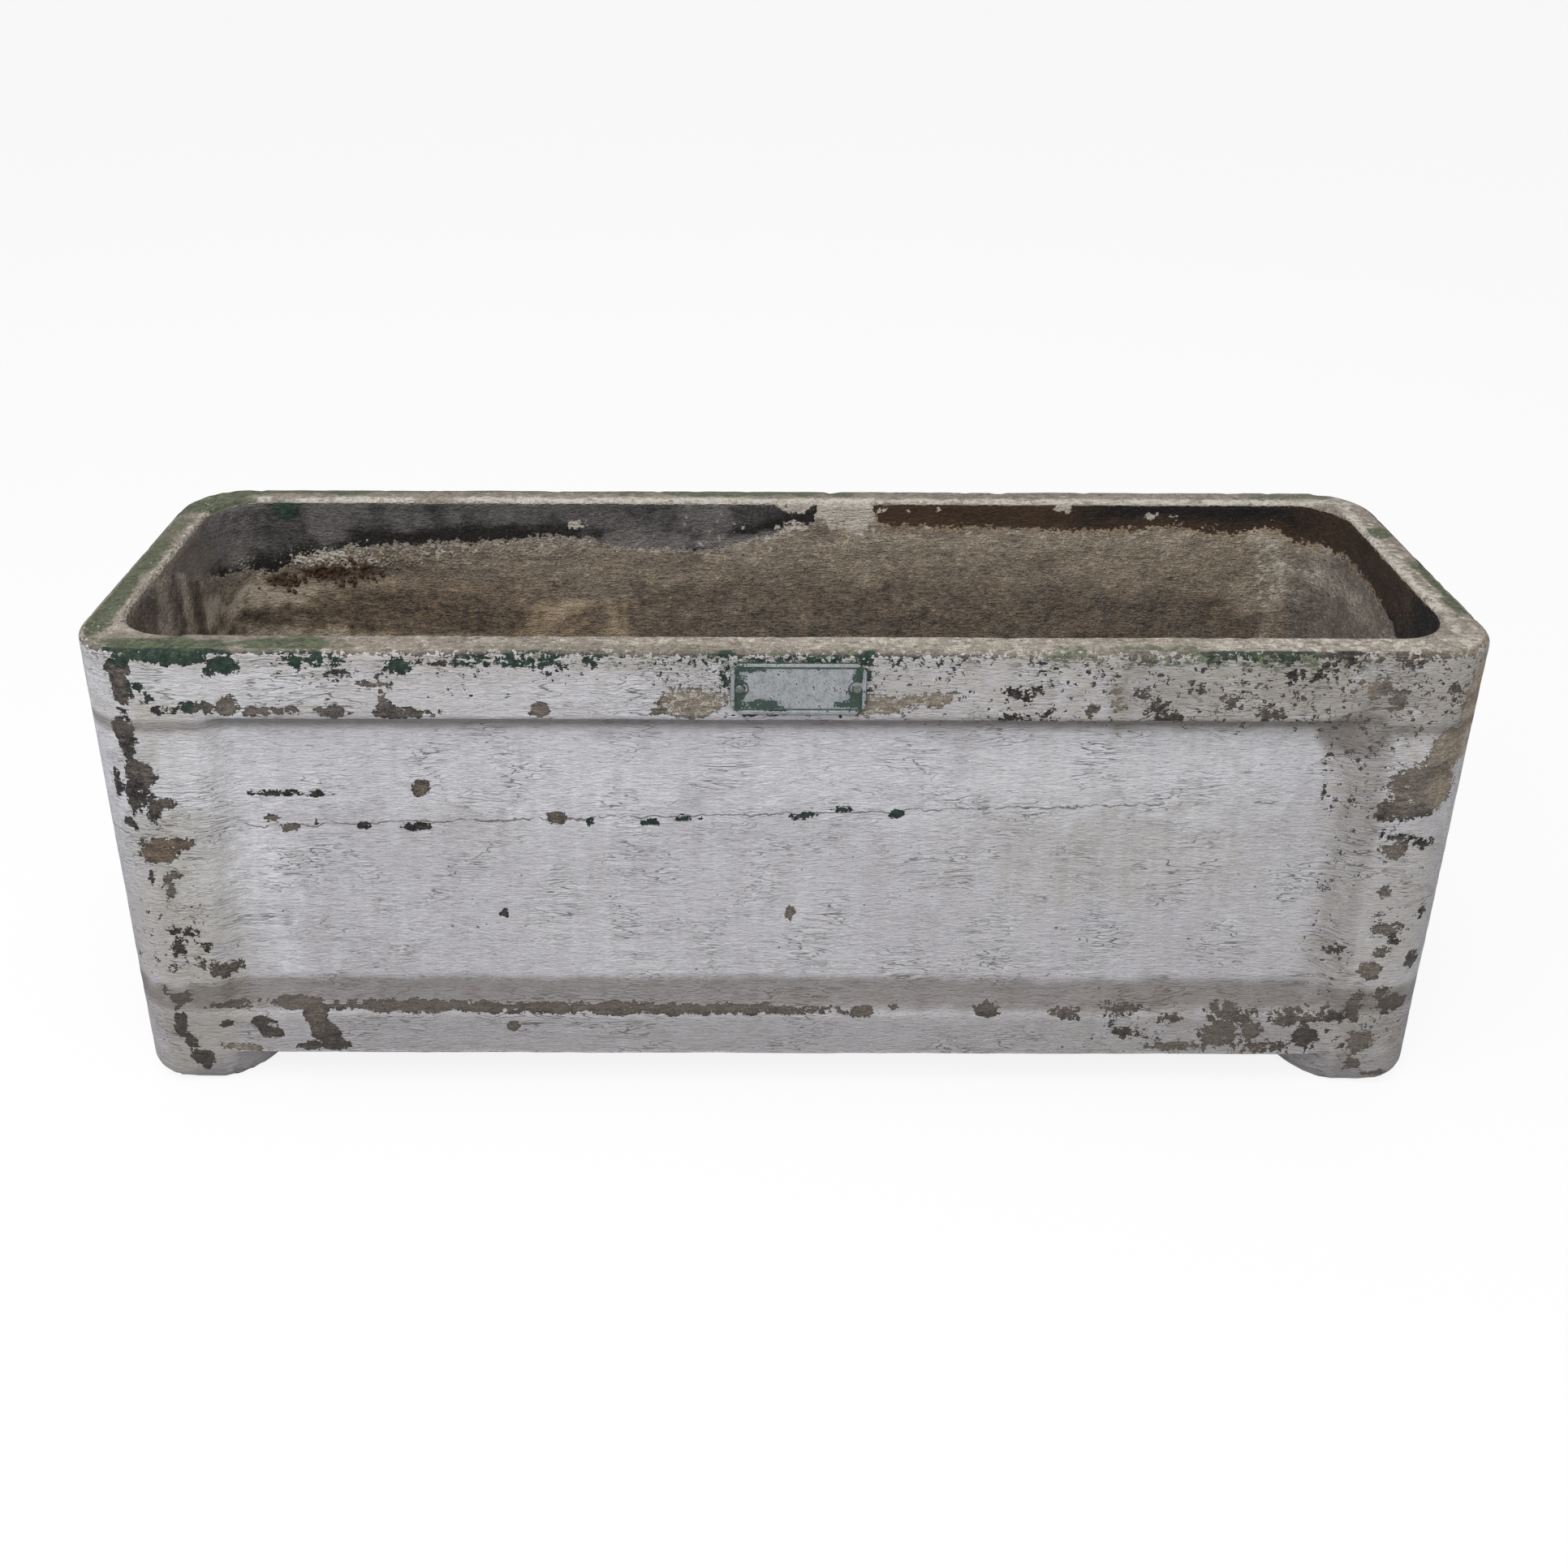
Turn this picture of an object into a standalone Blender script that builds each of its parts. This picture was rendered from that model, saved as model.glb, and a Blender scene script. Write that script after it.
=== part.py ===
"""A cast-concrete trough planter on four bracket feet, with its plate and its steel reinforcement.

Metres, +Z up. The origin lies on the ground under the middle of the trough, and the front faces -Y.
The concrete is one casting: draughted walls, a rounded rim, a recessed panel in each side, a floor with
drain holes, and feet with ogee brackets. A pressed plate is held to the front by two round-headed pins.
Inside the walls lies a cage of steel rod, tied at its crossings, in the holes that its rods fill.
"""

import math

import bmesh
import bpy
from mathutils import Matrix, Vector

# Outer form of the trough
TROUGH_LENGTH = 1.000
TROUGH_WIDTH = 0.300
TROUGH_HEIGHT = 0.380
OUTER_DRAUGHT = 0.008
CORNER_RADIUS = 0.047

# Rim and hollow
RIM_WIDTH = 0.027
RIM_OUTER_ARRIS = 0.006
RIM_INNER_ARRIS = 0.004
INNER_CORNER_RADIUS = 0.041
INNER_DRAUGHT = 0.012
FLOOR_THICKNESS = 0.030
FLOOR_FILLET = 0.018

# Bracket feet, whose cheeks sweep back from the faces under the walls
FOOT_HEIGHT = 0.0315
FOOT_TOE_RADIUS = 0.014
FOOT_SOLE_LENGTH = 0.083
FOOT_SOLE_DEPTH = 0.055
OGEE_RUN = 0.028
FRONT_SWEEP_LENGTH = 0.066
FRONT_SWEEP_DEPTH = 0.0525
END_SWEEP_LENGTH = 0.025
END_SWEEP_DEPTH = 0.045

# Recessed panel in each side
RIM_BAND_HEIGHT = 0.055
BASE_BAND_HEIGHT = 0.0355
STILE_WIDTH_ABOVE = 0.087
STILE_WIDTH_BELOW = 0.066
PANEL_DEPTH = 0.0095
PANEL_CORNER_RADIUS = 0.010
REVEAL_RUN = 0.026
COVE_RUN = 0.010
LEDGE_RUN = 0.028
LEDGE_STRAIGHT_SHARE = 0.6

# Drain holes in the floor
DRAIN_RADIUS = 0.011
DRAIN_END_INSET = 0.280
DRAIN_COUNT = 3

# Nameplate
PLATE_LENGTH = 0.094
PLATE_HEIGHT = 0.0405
PLATE_THICKNESS = 0.0010
PLATE_CORNER_CUT = 0.0065
PLATE_FRAME_WIDTH = 0.0022
PLATE_FRAME_RISE = 0.0008
PLATE_FRAME_SLOPE = 0.0005
PLATE_OFFSET_X = 0.009
PLATE_DROP = 0.028
PLATE_SEAT_GAP = 0.0003

# Plate pins
PIN_SPACING = 0.081
PIN_SHANK_RADIUS = 0.0013
PIN_SHANK_LENGTH = 0.016
PIN_HEAD_RADIUS = 0.0032
PIN_HEAD_RISE = 0.0017
PIN_CLEARANCE = 0.0003

# Reinforcement
ROD_RADIUS = 0.0025
ROD_CLEARANCE = 0.0003
TIE_GAP = 0.0003
RIM_ROD_INSET = 0.0115
RIM_ROD_DROP = 0.018
BASE_ROD_INSET = 0.024
BASE_ROD_RISE = 0.010
STIRRUP_COUNT = 4
STIRRUP_END_INSET = 0.170
STIRRUP_TOP_COVER = 0.010
STIRRUP_BOTTOM_COVER = 0.0125
STIRRUP_BEND_RADIUS = 0.014
CORNER_ROD_TOP_COVER = 0.009
CORNER_ROD_RECESS = 0.001
FLOOR_ROD_SPACING = 0.110
FLOOR_ROD_END_COVER = 0.046

# Facets and cutting
CORNER_STEPS = 8
ARRIS_STEPS = 3
FILLET_STEPS = 4
PANEL_STEPS = 6
PANEL_CORNER_STEPS = 3
OGEE_STEPS = 8
SWEEP_STEPS = 5
DRAIN_SIDES = 20
PIN_SIDES = 12
DOME_STEPS = 3
ROD_SIDES = 8
LOOP_CORNER_STEPS = 6
BEND_STEPS = 5
CUT_OVERRUN = 0.010
SMOOTH_ANGLE = math.radians(28)

# Worked out from the sizes above
FLOOR_TOP = FOOT_HEIGHT + FLOOR_THICKNESS
PANEL_TOP = TROUGH_HEIGHT - RIM_BAND_HEIGHT
PANEL_BOTTOM = FOOT_HEIGHT + BASE_BAND_HEIGHT
FACE_LEAN = math.atan2(OUTER_DRAUGHT, TROUGH_HEIGHT)
PLATE_CENTRE_Z = TROUGH_HEIGHT - PLATE_DROP
CHANNEL_RADIUS = ROD_RADIUS + ROD_CLEARANCE
TIE_PITCH = ROD_RADIUS * 2 + TIE_GAP
RIM_ROD_Z = TROUGH_HEIGHT - RIM_ROD_DROP
BASE_ROD_Z = FLOOR_TOP + BASE_ROD_RISE
STIRRUP_RUN_Z = FOOT_HEIGHT + STIRRUP_BOTTOM_COVER + ROD_RADIUS
FLOOR_ROD_Z = STIRRUP_RUN_Z + TIE_PITCH


def clear_scene():
    """Remove every object that the file opened with."""
    for item in list(bpy.data.objects):
        bpy.data.objects.remove(item, do_unlink=True)


def material(name, red, green, blue, roughness, metallic):
    """A plain surface of one colour."""
    made = bpy.data.materials.new(name)
    made.use_nodes = True
    shader = made.node_tree.nodes["Principled BSDF"]
    shader.inputs["Base Color"].default_value = (red, green, blue, 1.0)
    shader.inputs["Roughness"].default_value = roughness
    shader.inputs["Metallic"].default_value = metallic
    return made


def lofted(name, rings, surface=None, closed=False):
    """An object whose skin joins rings of equal count, capped unless its last ring meets its first."""
    work = bmesh.new()
    rows = [[work.verts.new(point) for point in ring] for ring in rings]
    count = len(rows[0])
    pairs = list(zip(rows, rows[1:]))
    if closed:
        pairs.append((rows[-1], rows[0]))
    else:
        work.faces.new(rows[0])
        work.faces.new(rows[-1])
    for lower, upper in pairs:
        for i in range(count):
            j = (i + 1) % count
            work.faces.new((lower[i], lower[j], upper[j], upper[i]))
    bmesh.ops.recalc_face_normals(work, faces=work.faces)
    mesh = bpy.data.meshes.new(name)
    work.to_mesh(mesh)
    work.free()
    mesh.shade_smooth()
    mesh.set_sharp_from_angle(angle=SMOOTH_ANGLE)
    made = bpy.data.objects.new(name, mesh)
    if surface:
        mesh.materials.append(surface)
    bpy.context.scene.collection.objects.link(made)
    return made


def cut(target, cutter):
    """Take the cutter's space out of the target, and hide the cutter."""
    cutter.hide_render = True
    cutter.display_type = "WIRE"
    step = target.modifiers.new(cutter.name, "BOOLEAN")
    step.operation = "DIFFERENCE"
    step.solver = "EXACT"
    step.object = cutter


def quarter(steps):
    """Angles from zero to a right angle."""
    return [math.pi / 2 * i / steps for i in range(steps + 1)]


def row(count, end_inset):
    """Places of a row along the trough, evenly spaced from one end's inset to the other's."""
    run = TROUGH_LENGTH / 2 - end_inset
    return [run * (2 * i / (count - 1) - 1) for i in range(count)]


def outer_inset(z):
    """How far the outer wall has drawn in at height z."""
    return OUTER_DRAUGHT * (TROUGH_HEIGHT - z) / TROUGH_HEIGHT


def inner_inset(z):
    """How far the wall of the hollow lies inside the rim's outer line at height z."""
    return RIM_WIDTH + INNER_DRAUGHT * (TROUGH_HEIGHT - z) / (TROUGH_HEIGHT - FLOOR_TOP)


def plan_ring(inset, radius, z, steps=CORNER_STEPS):
    """The trough's plan drawn in by inset, its corners rounded to radius, at height z."""
    half_length = TROUGH_LENGTH / 2 - inset - radius
    half_width = TROUGH_WIDTH / 2 - inset - radius
    corners = ((1, 1), (-1, 1), (-1, -1), (1, -1))
    ring = []
    for turn, (side_x, side_y) in enumerate(corners):
        for angle in quarter(steps):
            heading = angle + turn * math.pi / 2
            x = side_x * half_length + radius * math.cos(heading)
            y = side_y * half_width + radius * math.sin(heading)
            ring.append(Vector((x, y, z)))
    return ring


def outer_rings():
    """Rings from the soles of the feet up the outer wall and over its arris."""
    rings = []
    for angle in quarter(FILLET_STEPS):
        z = FOOT_TOE_RADIUS * (1 - math.cos(angle))
        inset = outer_inset(z) + FOOT_TOE_RADIUS * (1 - math.sin(angle))
        rings.append(plan_ring(inset, CORNER_RADIUS - inset, z))
    for angle in quarter(ARRIS_STEPS):
        z = TROUGH_HEIGHT - RIM_OUTER_ARRIS * (1 - math.sin(angle))
        inset = outer_inset(z) + RIM_OUTER_ARRIS * (1 - math.cos(angle))
        rings.append(plan_ring(inset, CORNER_RADIUS - inset, z))
    return rings


def hollow_rings():
    """Rings from the rim over its inner arris, down the hollow and round the floor's fillet."""
    rings = []
    for angle in quarter(ARRIS_STEPS):
        z = TROUGH_HEIGHT - RIM_INNER_ARRIS * (1 - math.cos(angle))
        inset = RIM_WIDTH - RIM_INNER_ARRIS * (1 - math.sin(angle))
        rings.append(plan_ring(inset, INNER_CORNER_RADIUS + RIM_WIDTH - inset, z))
    for angle in quarter(FILLET_STEPS):
        z = FLOOR_TOP + FLOOR_FILLET * (1 - math.sin(angle))
        inset = inner_inset(z) + FLOOR_FILLET * (1 - math.cos(angle))
        rings.append(plan_ring(inset, INNER_CORNER_RADIUS + RIM_WIDTH - inset, z))
    return rings


def panel_ring(half_above, half_below, part, depth, turn, half_span):
    """One outline of a recess, part of the way in along its reveals, on the side that turn faces."""
    share = (1 - math.cos(math.pi * part)) / 2
    round_share = 1 - math.sqrt(1 - share * share)
    drawn_in = REVEAL_RUN * part
    high = PANEL_TOP - COVE_RUN * round_share
    ledge_share = LEDGE_STRAIGHT_SHARE * share + (1 - LEDGE_STRAIGHT_SHARE) * round_share
    low = PANEL_BOTTOM + LEDGE_RUN * ledge_share
    radius = PANEL_CORNER_RADIUS
    corners = (
        (half_above - drawn_in - radius, high - radius, 0),
        (radius + drawn_in - half_above, high - radius, 1),
        (radius + drawn_in - half_below, low + radius, 2),
        (half_below - drawn_in - radius, low + radius, 3),
    )
    ring = []
    for x, z, quarter_turns in corners:
        for angle in quarter(PANEL_CORNER_STEPS):
            heading = angle + quarter_turns * math.pi / 2
            across = x + radius * math.cos(heading)
            height = z + radius * math.sin(heading)
            out = half_span - outer_inset(height) - depth
            ring.append(Matrix.Rotation(turn, 3, "Z") @ Vector((across, -out, height)))
    return ring


def panel_cutter(name, turn, span, face_length):
    """The space of one recess: soft side reveals, a coved head and a sloping ledge."""
    half_above = face_length / 2 - STILE_WIDTH_ABOVE
    half_below = face_length / 2 - outer_inset(PANEL_BOTTOM) - STILE_WIDTH_BELOW
    rings = [panel_ring(half_above, half_below, 0.0, -CUT_OVERRUN, turn, span / 2)]
    for i in range(PANEL_STEPS + 1):
        part = i / PANEL_STEPS
        depth = PANEL_DEPTH * (1 - math.cos(math.pi * part)) / 2
        rings.append(panel_ring(half_above, half_below, part, depth, turn, span / 2))
    return lofted(name, rings)


def arch_profile(half_opening):
    """The section of the gap between two feet, with an ogee at each end."""
    profile = [(-half_opening, -CUT_OVERRUN)]
    for i in range(OGEE_STEPS + 1):
        part = i / OGEE_STEPS
        rise = FOOT_HEIGHT * (1 - math.cos(math.pi * part)) / 2
        profile.append((OGEE_RUN * part - half_opening, rise))
    return profile + [(-across, rise) for across, rise in reversed(profile)]


def arch_cutter(name, opening, reach, sweep_length, sweep_depth, turn):
    """The gap between two feet, from side to side, wider at the faces where the cheeks sweep back."""
    face = reach / 2 - outer_inset(0.0)
    sections = [(reach / 2 + CUT_OVERRUN, sweep_length)]
    for angle in reversed(quarter(SWEEP_STEPS)):
        place = face - sweep_depth * (1 - math.sin(angle))
        sections.append((place, sweep_length * (1 - math.cos(angle))))
    sections += [(-place, wider) for place, wider in reversed(sections)]
    spin = Matrix.Rotation(turn, 3, "Z")
    rings = []
    for place, wider in sections:
        profile = arch_profile(opening / 2 + wider)
        rings.append([spin @ Vector((across, place, rise)) for across, rise in profile])
    return lofted(name, rings)


def cylinder(name, radius, low, high, sides, surface=None):
    """An upright round bar."""
    rings = []
    for z in (low, high):
        turns = [math.tau * i / sides for i in range(sides)]
        rings.append([Vector((radius * math.cos(t), radius * math.sin(t), z)) for t in turns])
    return lofted(name, rings, surface)


def plate_outline(drawn_in, rise):
    """The plate's outline with its cut corners, drawn in and raised off its back."""
    half_length = PLATE_LENGTH / 2 - drawn_in
    half_height = PLATE_HEIGHT / 2 - drawn_in
    slant = drawn_in * math.tan(math.pi / 8)
    corner = PLATE_CORNER_CUT - drawn_in + slant
    ends = (
        (half_length, half_height - corner),
        (half_length - corner, half_height),
        (corner - half_length, half_height),
        (-half_length, half_height - corner),
        (-half_length, corner - half_height),
        (corner - half_length, -half_height),
        (half_length - corner, -half_height),
        (half_length, corner - half_height),
    )
    return [Vector((x, -rise, z)) for x, z in ends]


def on_front_face(item):
    """Lay an item made flat, with its back at zero, against the leaning front of the trough."""
    item.rotation_euler = (FACE_LEAN, 0.0, 0.0)
    item.location = (PLATE_OFFSET_X, outer_inset(PLATE_CENTRE_Z) - TROUGH_WIDTH / 2, PLATE_CENTRE_Z)
    return item


def nameplate(surface):
    """The pressed plate: a thin sheet with cut corners and a raised frame, its field left bare."""
    top = PLATE_THICKNESS + PLATE_FRAME_RISE
    inner = PLATE_FRAME_SLOPE + PLATE_FRAME_WIDTH
    outlines = (
        (0.0, 0.0),
        (0.0, PLATE_THICKNESS),
        (PLATE_FRAME_SLOPE, top),
        (inner, top),
        (inner + PLATE_FRAME_SLOPE, PLATE_THICKNESS),
    )
    rings = [plate_outline(drawn_in, PLATE_SEAT_GAP + rise) for drawn_in, rise in outlines]
    plate = on_front_face(lofted("nameplate", rings, surface))
    for side, x in (("left", -PIN_SPACING / 2), ("right", PIN_SPACING / 2)):
        hole = pin_bar(f"plate_hole_{side}", x, PIN_SHANK_RADIUS + PIN_CLEARANCE)
        cut(plate, on_front_face(hole))
    return plate


def pin_bar(name, x, radius):
    """A round bar through the plate into the concrete at x on the plate."""
    bar = cylinder(name, radius, -CUT_OVERRUN, PIN_SHANK_LENGTH + PIN_CLEARANCE, PIN_SIDES)
    bar.data.transform(Matrix.Translation((x, 0.0, 0.0)) @ Matrix.Rotation(-math.pi / 2, 4, "X"))
    return bar


def plate_pin(name, x, surface):
    """A drive pin: a domed head bearing on the plate, and a shank driven into the concrete."""
    seat = PLATE_SEAT_GAP + PLATE_THICKNESS + PIN_CLEARANCE
    profile = [(PIN_SHANK_RADIUS, -PIN_SHANK_LENGTH), (PIN_SHANK_RADIUS, seat)]
    for angle in quarter(DOME_STEPS)[:-1]:
        profile.append((PIN_HEAD_RADIUS * math.cos(angle), seat + PIN_HEAD_RISE * math.sin(angle)))
    turns = [math.tau * i / PIN_SIDES for i in range(PIN_SIDES)]
    rings = []
    for radius, out in profile:
        rings.append([Vector((x + radius * math.cos(t), -out, radius * math.sin(t))) for t in turns])
    return on_front_face(lofted(name, rings, surface))


def tube(name, path, normal, radius, closed=False, surface=None):
    """A rod of one radius along a path that lies in the plane square to normal, mitred at its bends."""
    last = len(path) - 1
    rings = []
    for i, point in enumerate(path):
        follower = path[(i + 1) % len(path)]
        arriving = (point - path[i - 1]).normalized()
        leaving = (follower - point).normalized()
        if not closed and i == 0:
            arriving = leaving
        if not closed and i == last:
            leaving = arriving
        along = (arriving + leaving).normalized()
        mitre = 1 / along.dot(leaving)
        rings.append(rod_ring(point, normal, along.cross(normal) * mitre, radius))
    return lofted(name, rings, surface, closed)


def rod_ring(point, side, lift, radius):
    """The rod's section at a point, with a ridge on each of its two directions."""
    ring = []
    for i in range(ROD_SIDES):
        turn = math.tau * i / ROD_SIDES
        ring.append(point + side * (radius * math.cos(turn)) + lift * (radius * math.sin(turn)))
    return ring


def rim_rod_path():
    """The loop of rod inside the rim."""
    return plan_ring(RIM_ROD_INSET, CORNER_RADIUS - RIM_ROD_INSET, RIM_ROD_Z, LOOP_CORNER_STEPS)


def base_rod_path():
    """The loop of rod inside the base of the walls."""
    return plan_ring(BASE_ROD_INSET, CORNER_RADIUS - BASE_ROD_INSET, BASE_ROD_Z, LOOP_CORNER_STEPS)


def stirrup_path(x):
    """A U of rod: down one long wall, through the floor and up the other, tied inside both loops."""
    half_above = TROUGH_WIDTH / 2 - RIM_ROD_INSET - TIE_PITCH
    half_below = TROUGH_WIDTH / 2 - BASE_ROD_INSET - TIE_PITCH
    lean = (half_above - half_below) / (RIM_ROD_Z - BASE_ROD_Z)
    top = TROUGH_HEIGHT - STIRRUP_TOP_COVER
    bend_top = STIRRUP_RUN_Z + STIRRUP_BEND_RADIUS
    half_top = half_above + lean * (top - RIM_ROD_Z)
    half_bend = half_below - lean * (BASE_ROD_Z - bend_top)
    side = [Vector((x, -half_top, top))]
    for angle in quarter(BEND_STEPS):
        y = half_bend - STIRRUP_BEND_RADIUS * (1 - math.cos(angle))
        z = bend_top - STIRRUP_BEND_RADIUS * math.sin(angle)
        side.append(Vector((x, -y, z)))
    return side + [Vector((x, -point.y, point.z)) for point in reversed(side)]


def corner_rod_path(side_x, side_y):
    """A rod up one corner, tied inside both loops, from the sole of its foot to the rim."""
    centre = Vector((TROUGH_LENGTH / 2 - CORNER_RADIUS, TROUGH_WIDTH / 2 - CORNER_RADIUS, 0.0))
    out_above = CORNER_RADIUS - RIM_ROD_INSET - TIE_PITCH
    out_below = CORNER_RADIUS - BASE_ROD_INSET - TIE_PITCH
    lean = (out_above - out_below) / (RIM_ROD_Z - BASE_ROD_Z)
    path = []
    for z in (CORNER_ROD_RECESS, TROUGH_HEIGHT - CORNER_ROD_TOP_COVER):
        out = (out_below + lean * (z - BASE_ROD_Z)) * math.sin(math.pi / 4)
        path.append(Vector((side_x * (centre.x + out), side_y * (centre.y + out), z)))
    return path


def floor_rod_path(y):
    """A straight rod along the floor, tied on top of the stirrups."""
    half = TROUGH_LENGTH / 2 - FLOOR_ROD_END_COVER
    return [Vector((-half, y, FLOOR_ROD_Z)), Vector((half, y, FLOOR_ROD_Z))]


def lengthened(path, by):
    """The path with both its ends moved out."""
    first = path[0] + (path[0] - path[1]).normalized() * by
    last = path[-1] + (path[-1] - path[-2]).normalized() * by
    return [first] + path[1:-1] + [last]


def reinforce(body, name, path, normal, surface, closed=False, open_foot=False):
    """A rod on its path, and the hole in the concrete that it fills."""
    hole_path = path
    if not closed:
        hole_path = lengthened(path, ROD_CLEARANCE)
    if open_foot:
        hole_path[0] = lengthened(path, CUT_OVERRUN)[0]
    cut(body, tube(f"{name}_hole", hole_path, normal, CHANNEL_RADIUS, closed))
    return tube(name, path, normal, ROD_RADIUS, closed, surface)


def trough_body(surface):
    """The casting, with its panels, foot brackets, drain holes and pin holes cut."""
    body = lofted("trough_body", outer_rings() + hollow_rings(), surface)
    sides = (
        ("front", 0.0, TROUGH_WIDTH, TROUGH_LENGTH),
        ("right", math.pi / 2, TROUGH_LENGTH, TROUGH_WIDTH),
        ("back", math.pi, TROUGH_WIDTH, TROUGH_LENGTH),
        ("left", -math.pi / 2, TROUGH_LENGTH, TROUGH_WIDTH),
    )
    for name, turn, span, face_length in sides:
        cut(body, panel_cutter(f"panel_{name}", turn, span, face_length))
    long_opening = TROUGH_LENGTH - (FOOT_SOLE_LENGTH + outer_inset(0.0) + FOOT_TOE_RADIUS) * 2
    end_opening = TROUGH_WIDTH - (FOOT_SOLE_DEPTH + outer_inset(0.0) + FOOT_TOE_RADIUS) * 2
    front_sweep = (FRONT_SWEEP_LENGTH, FRONT_SWEEP_DEPTH)
    end_sweep = (END_SWEEP_LENGTH, END_SWEEP_DEPTH)
    cut(body, arch_cutter("arch_long", long_opening, TROUGH_WIDTH, *front_sweep, 0.0))
    cut(body, arch_cutter("arch_end", end_opening, TROUGH_LENGTH, *end_sweep, math.pi / 2))
    for number, x in enumerate(row(DRAIN_COUNT, DRAIN_END_INSET), 1):
        low, high = FOOT_HEIGHT - CUT_OVERRUN, FLOOR_TOP + CUT_OVERRUN
        hole = cylinder(f"drain_hole_{number}", DRAIN_RADIUS, low, high, DRAIN_SIDES)
        hole.location.x = x
        cut(body, hole)
    for side, x in (("left", -PIN_SPACING / 2), ("right", PIN_SPACING / 2)):
        hole = pin_bar(f"pin_hole_{side}", x, PIN_SHANK_RADIUS + PIN_CLEARANCE)
        cut(body, on_front_face(hole))
    return body


def reinforcement(body, surface):
    """The cage: a loop in the rim, a loop at the base, corner rods, stirrups and floor rods."""
    along_x, along_y, upright = Matrix.Identity(3)
    reinforce(body, "rim_rod", rim_rod_path(), upright, surface, closed=True)
    reinforce(body, "base_rod", base_rod_path(), upright, surface, closed=True)
    corners = (("front_left", -1, -1), ("front_right", 1, -1), ("back_right", 1, 1), ("back_left", -1, 1))
    for name, side_x, side_y in corners:
        path = corner_rod_path(side_x, side_y)
        tangent = (along_x * side_y - along_y * side_x).normalized()
        reinforce(body, f"corner_rod_{name}", path, tangent, surface, open_foot=True)
    for number, x in enumerate(row(STIRRUP_COUNT, STIRRUP_END_INSET), 1):
        reinforce(body, f"stirrup_{number}", stirrup_path(x), along_x, surface)
    for name, y in (("front", -FLOOR_ROD_SPACING / 2), ("back", FLOOR_ROD_SPACING / 2)):
        reinforce(body, f"floor_rod_{name}", floor_rod_path(y), upright, surface)


def build():
    """Model the whole planter."""
    clear_scene()
    painted_concrete = material("painted_concrete", 0.56, 0.56, 0.57, 0.85, 0.0)
    painted_plate = material("painted_plate", 0.42, 0.45, 0.44, 0.55, 0.0)
    pin_metal = material("pin_metal", 0.20, 0.21, 0.19, 0.45, 1.0)
    rod_steel = material("rod_steel", 0.30, 0.16, 0.09, 0.80, 1.0)
    body = trough_body(painted_concrete)
    nameplate(painted_plate)
    plate_pin("plate_pin_left", -PIN_SPACING / 2, pin_metal)
    plate_pin("plate_pin_right", PIN_SPACING / 2, pin_metal)
    reinforcement(body, rod_steel)


build()
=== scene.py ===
"""Looks of a weathered cast-concrete trough planter: its peeled paint, bare concrete, algae and plate.

Metres, +Z up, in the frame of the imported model. The front faces -Y. Places of wear are millimetres on the
casting's own faces, because that is how they were read off the object.
"""

from __future__ import annotations

import logging
import math
from dataclasses import dataclass
from enum import Enum
from types import SimpleNamespace
from typing import Any, Iterable

import bmesh
import bpy
import numpy as np
from mathutils import Euler, Matrix, Vector, noise

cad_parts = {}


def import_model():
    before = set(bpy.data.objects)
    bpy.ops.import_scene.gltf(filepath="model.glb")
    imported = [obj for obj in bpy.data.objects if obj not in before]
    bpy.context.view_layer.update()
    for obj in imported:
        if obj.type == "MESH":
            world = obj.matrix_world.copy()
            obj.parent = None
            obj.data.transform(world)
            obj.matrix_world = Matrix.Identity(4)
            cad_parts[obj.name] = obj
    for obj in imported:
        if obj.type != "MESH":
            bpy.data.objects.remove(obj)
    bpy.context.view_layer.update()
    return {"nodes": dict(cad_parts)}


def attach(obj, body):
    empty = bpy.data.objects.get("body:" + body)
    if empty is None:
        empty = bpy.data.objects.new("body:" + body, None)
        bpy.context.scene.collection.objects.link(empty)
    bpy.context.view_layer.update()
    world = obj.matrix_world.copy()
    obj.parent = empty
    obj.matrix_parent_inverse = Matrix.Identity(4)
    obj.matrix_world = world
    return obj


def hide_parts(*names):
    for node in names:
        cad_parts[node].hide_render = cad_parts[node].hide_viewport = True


LOG = logging.getLogger("planter")
MM = 0.001
WEAR_SEED = 7
GRAIN_SEED = 11


def linear(hex_colour: str) -> tuple[float, float, float, float]:
    """Turn an sRGB hex colour into linear light.

    Args:
        hex_colour: Six hex digits after a hash.

    Returns:
        Red, green and blue in linear light, and an alpha of one.
    """
    shares = [int(hex_colour[i:i + 2], 16) / 255 for i in (1, 3, 5)]
    turned = [s / 12.92 if s <= 0.04045 else ((s + 0.055) / 1.055) ** 2.4 for s in shares]
    return (turned[0], turned[1], turned[2], 1.0)


def per_mm(*sizes: float) -> Any:
    """Scale of a texture whose features are this many millimetres across, or this many in x, y and z."""
    scales = tuple(1.0 / (size * MM) for size in sizes)
    return scales if len(scales) > 1 else scales[0]


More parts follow.
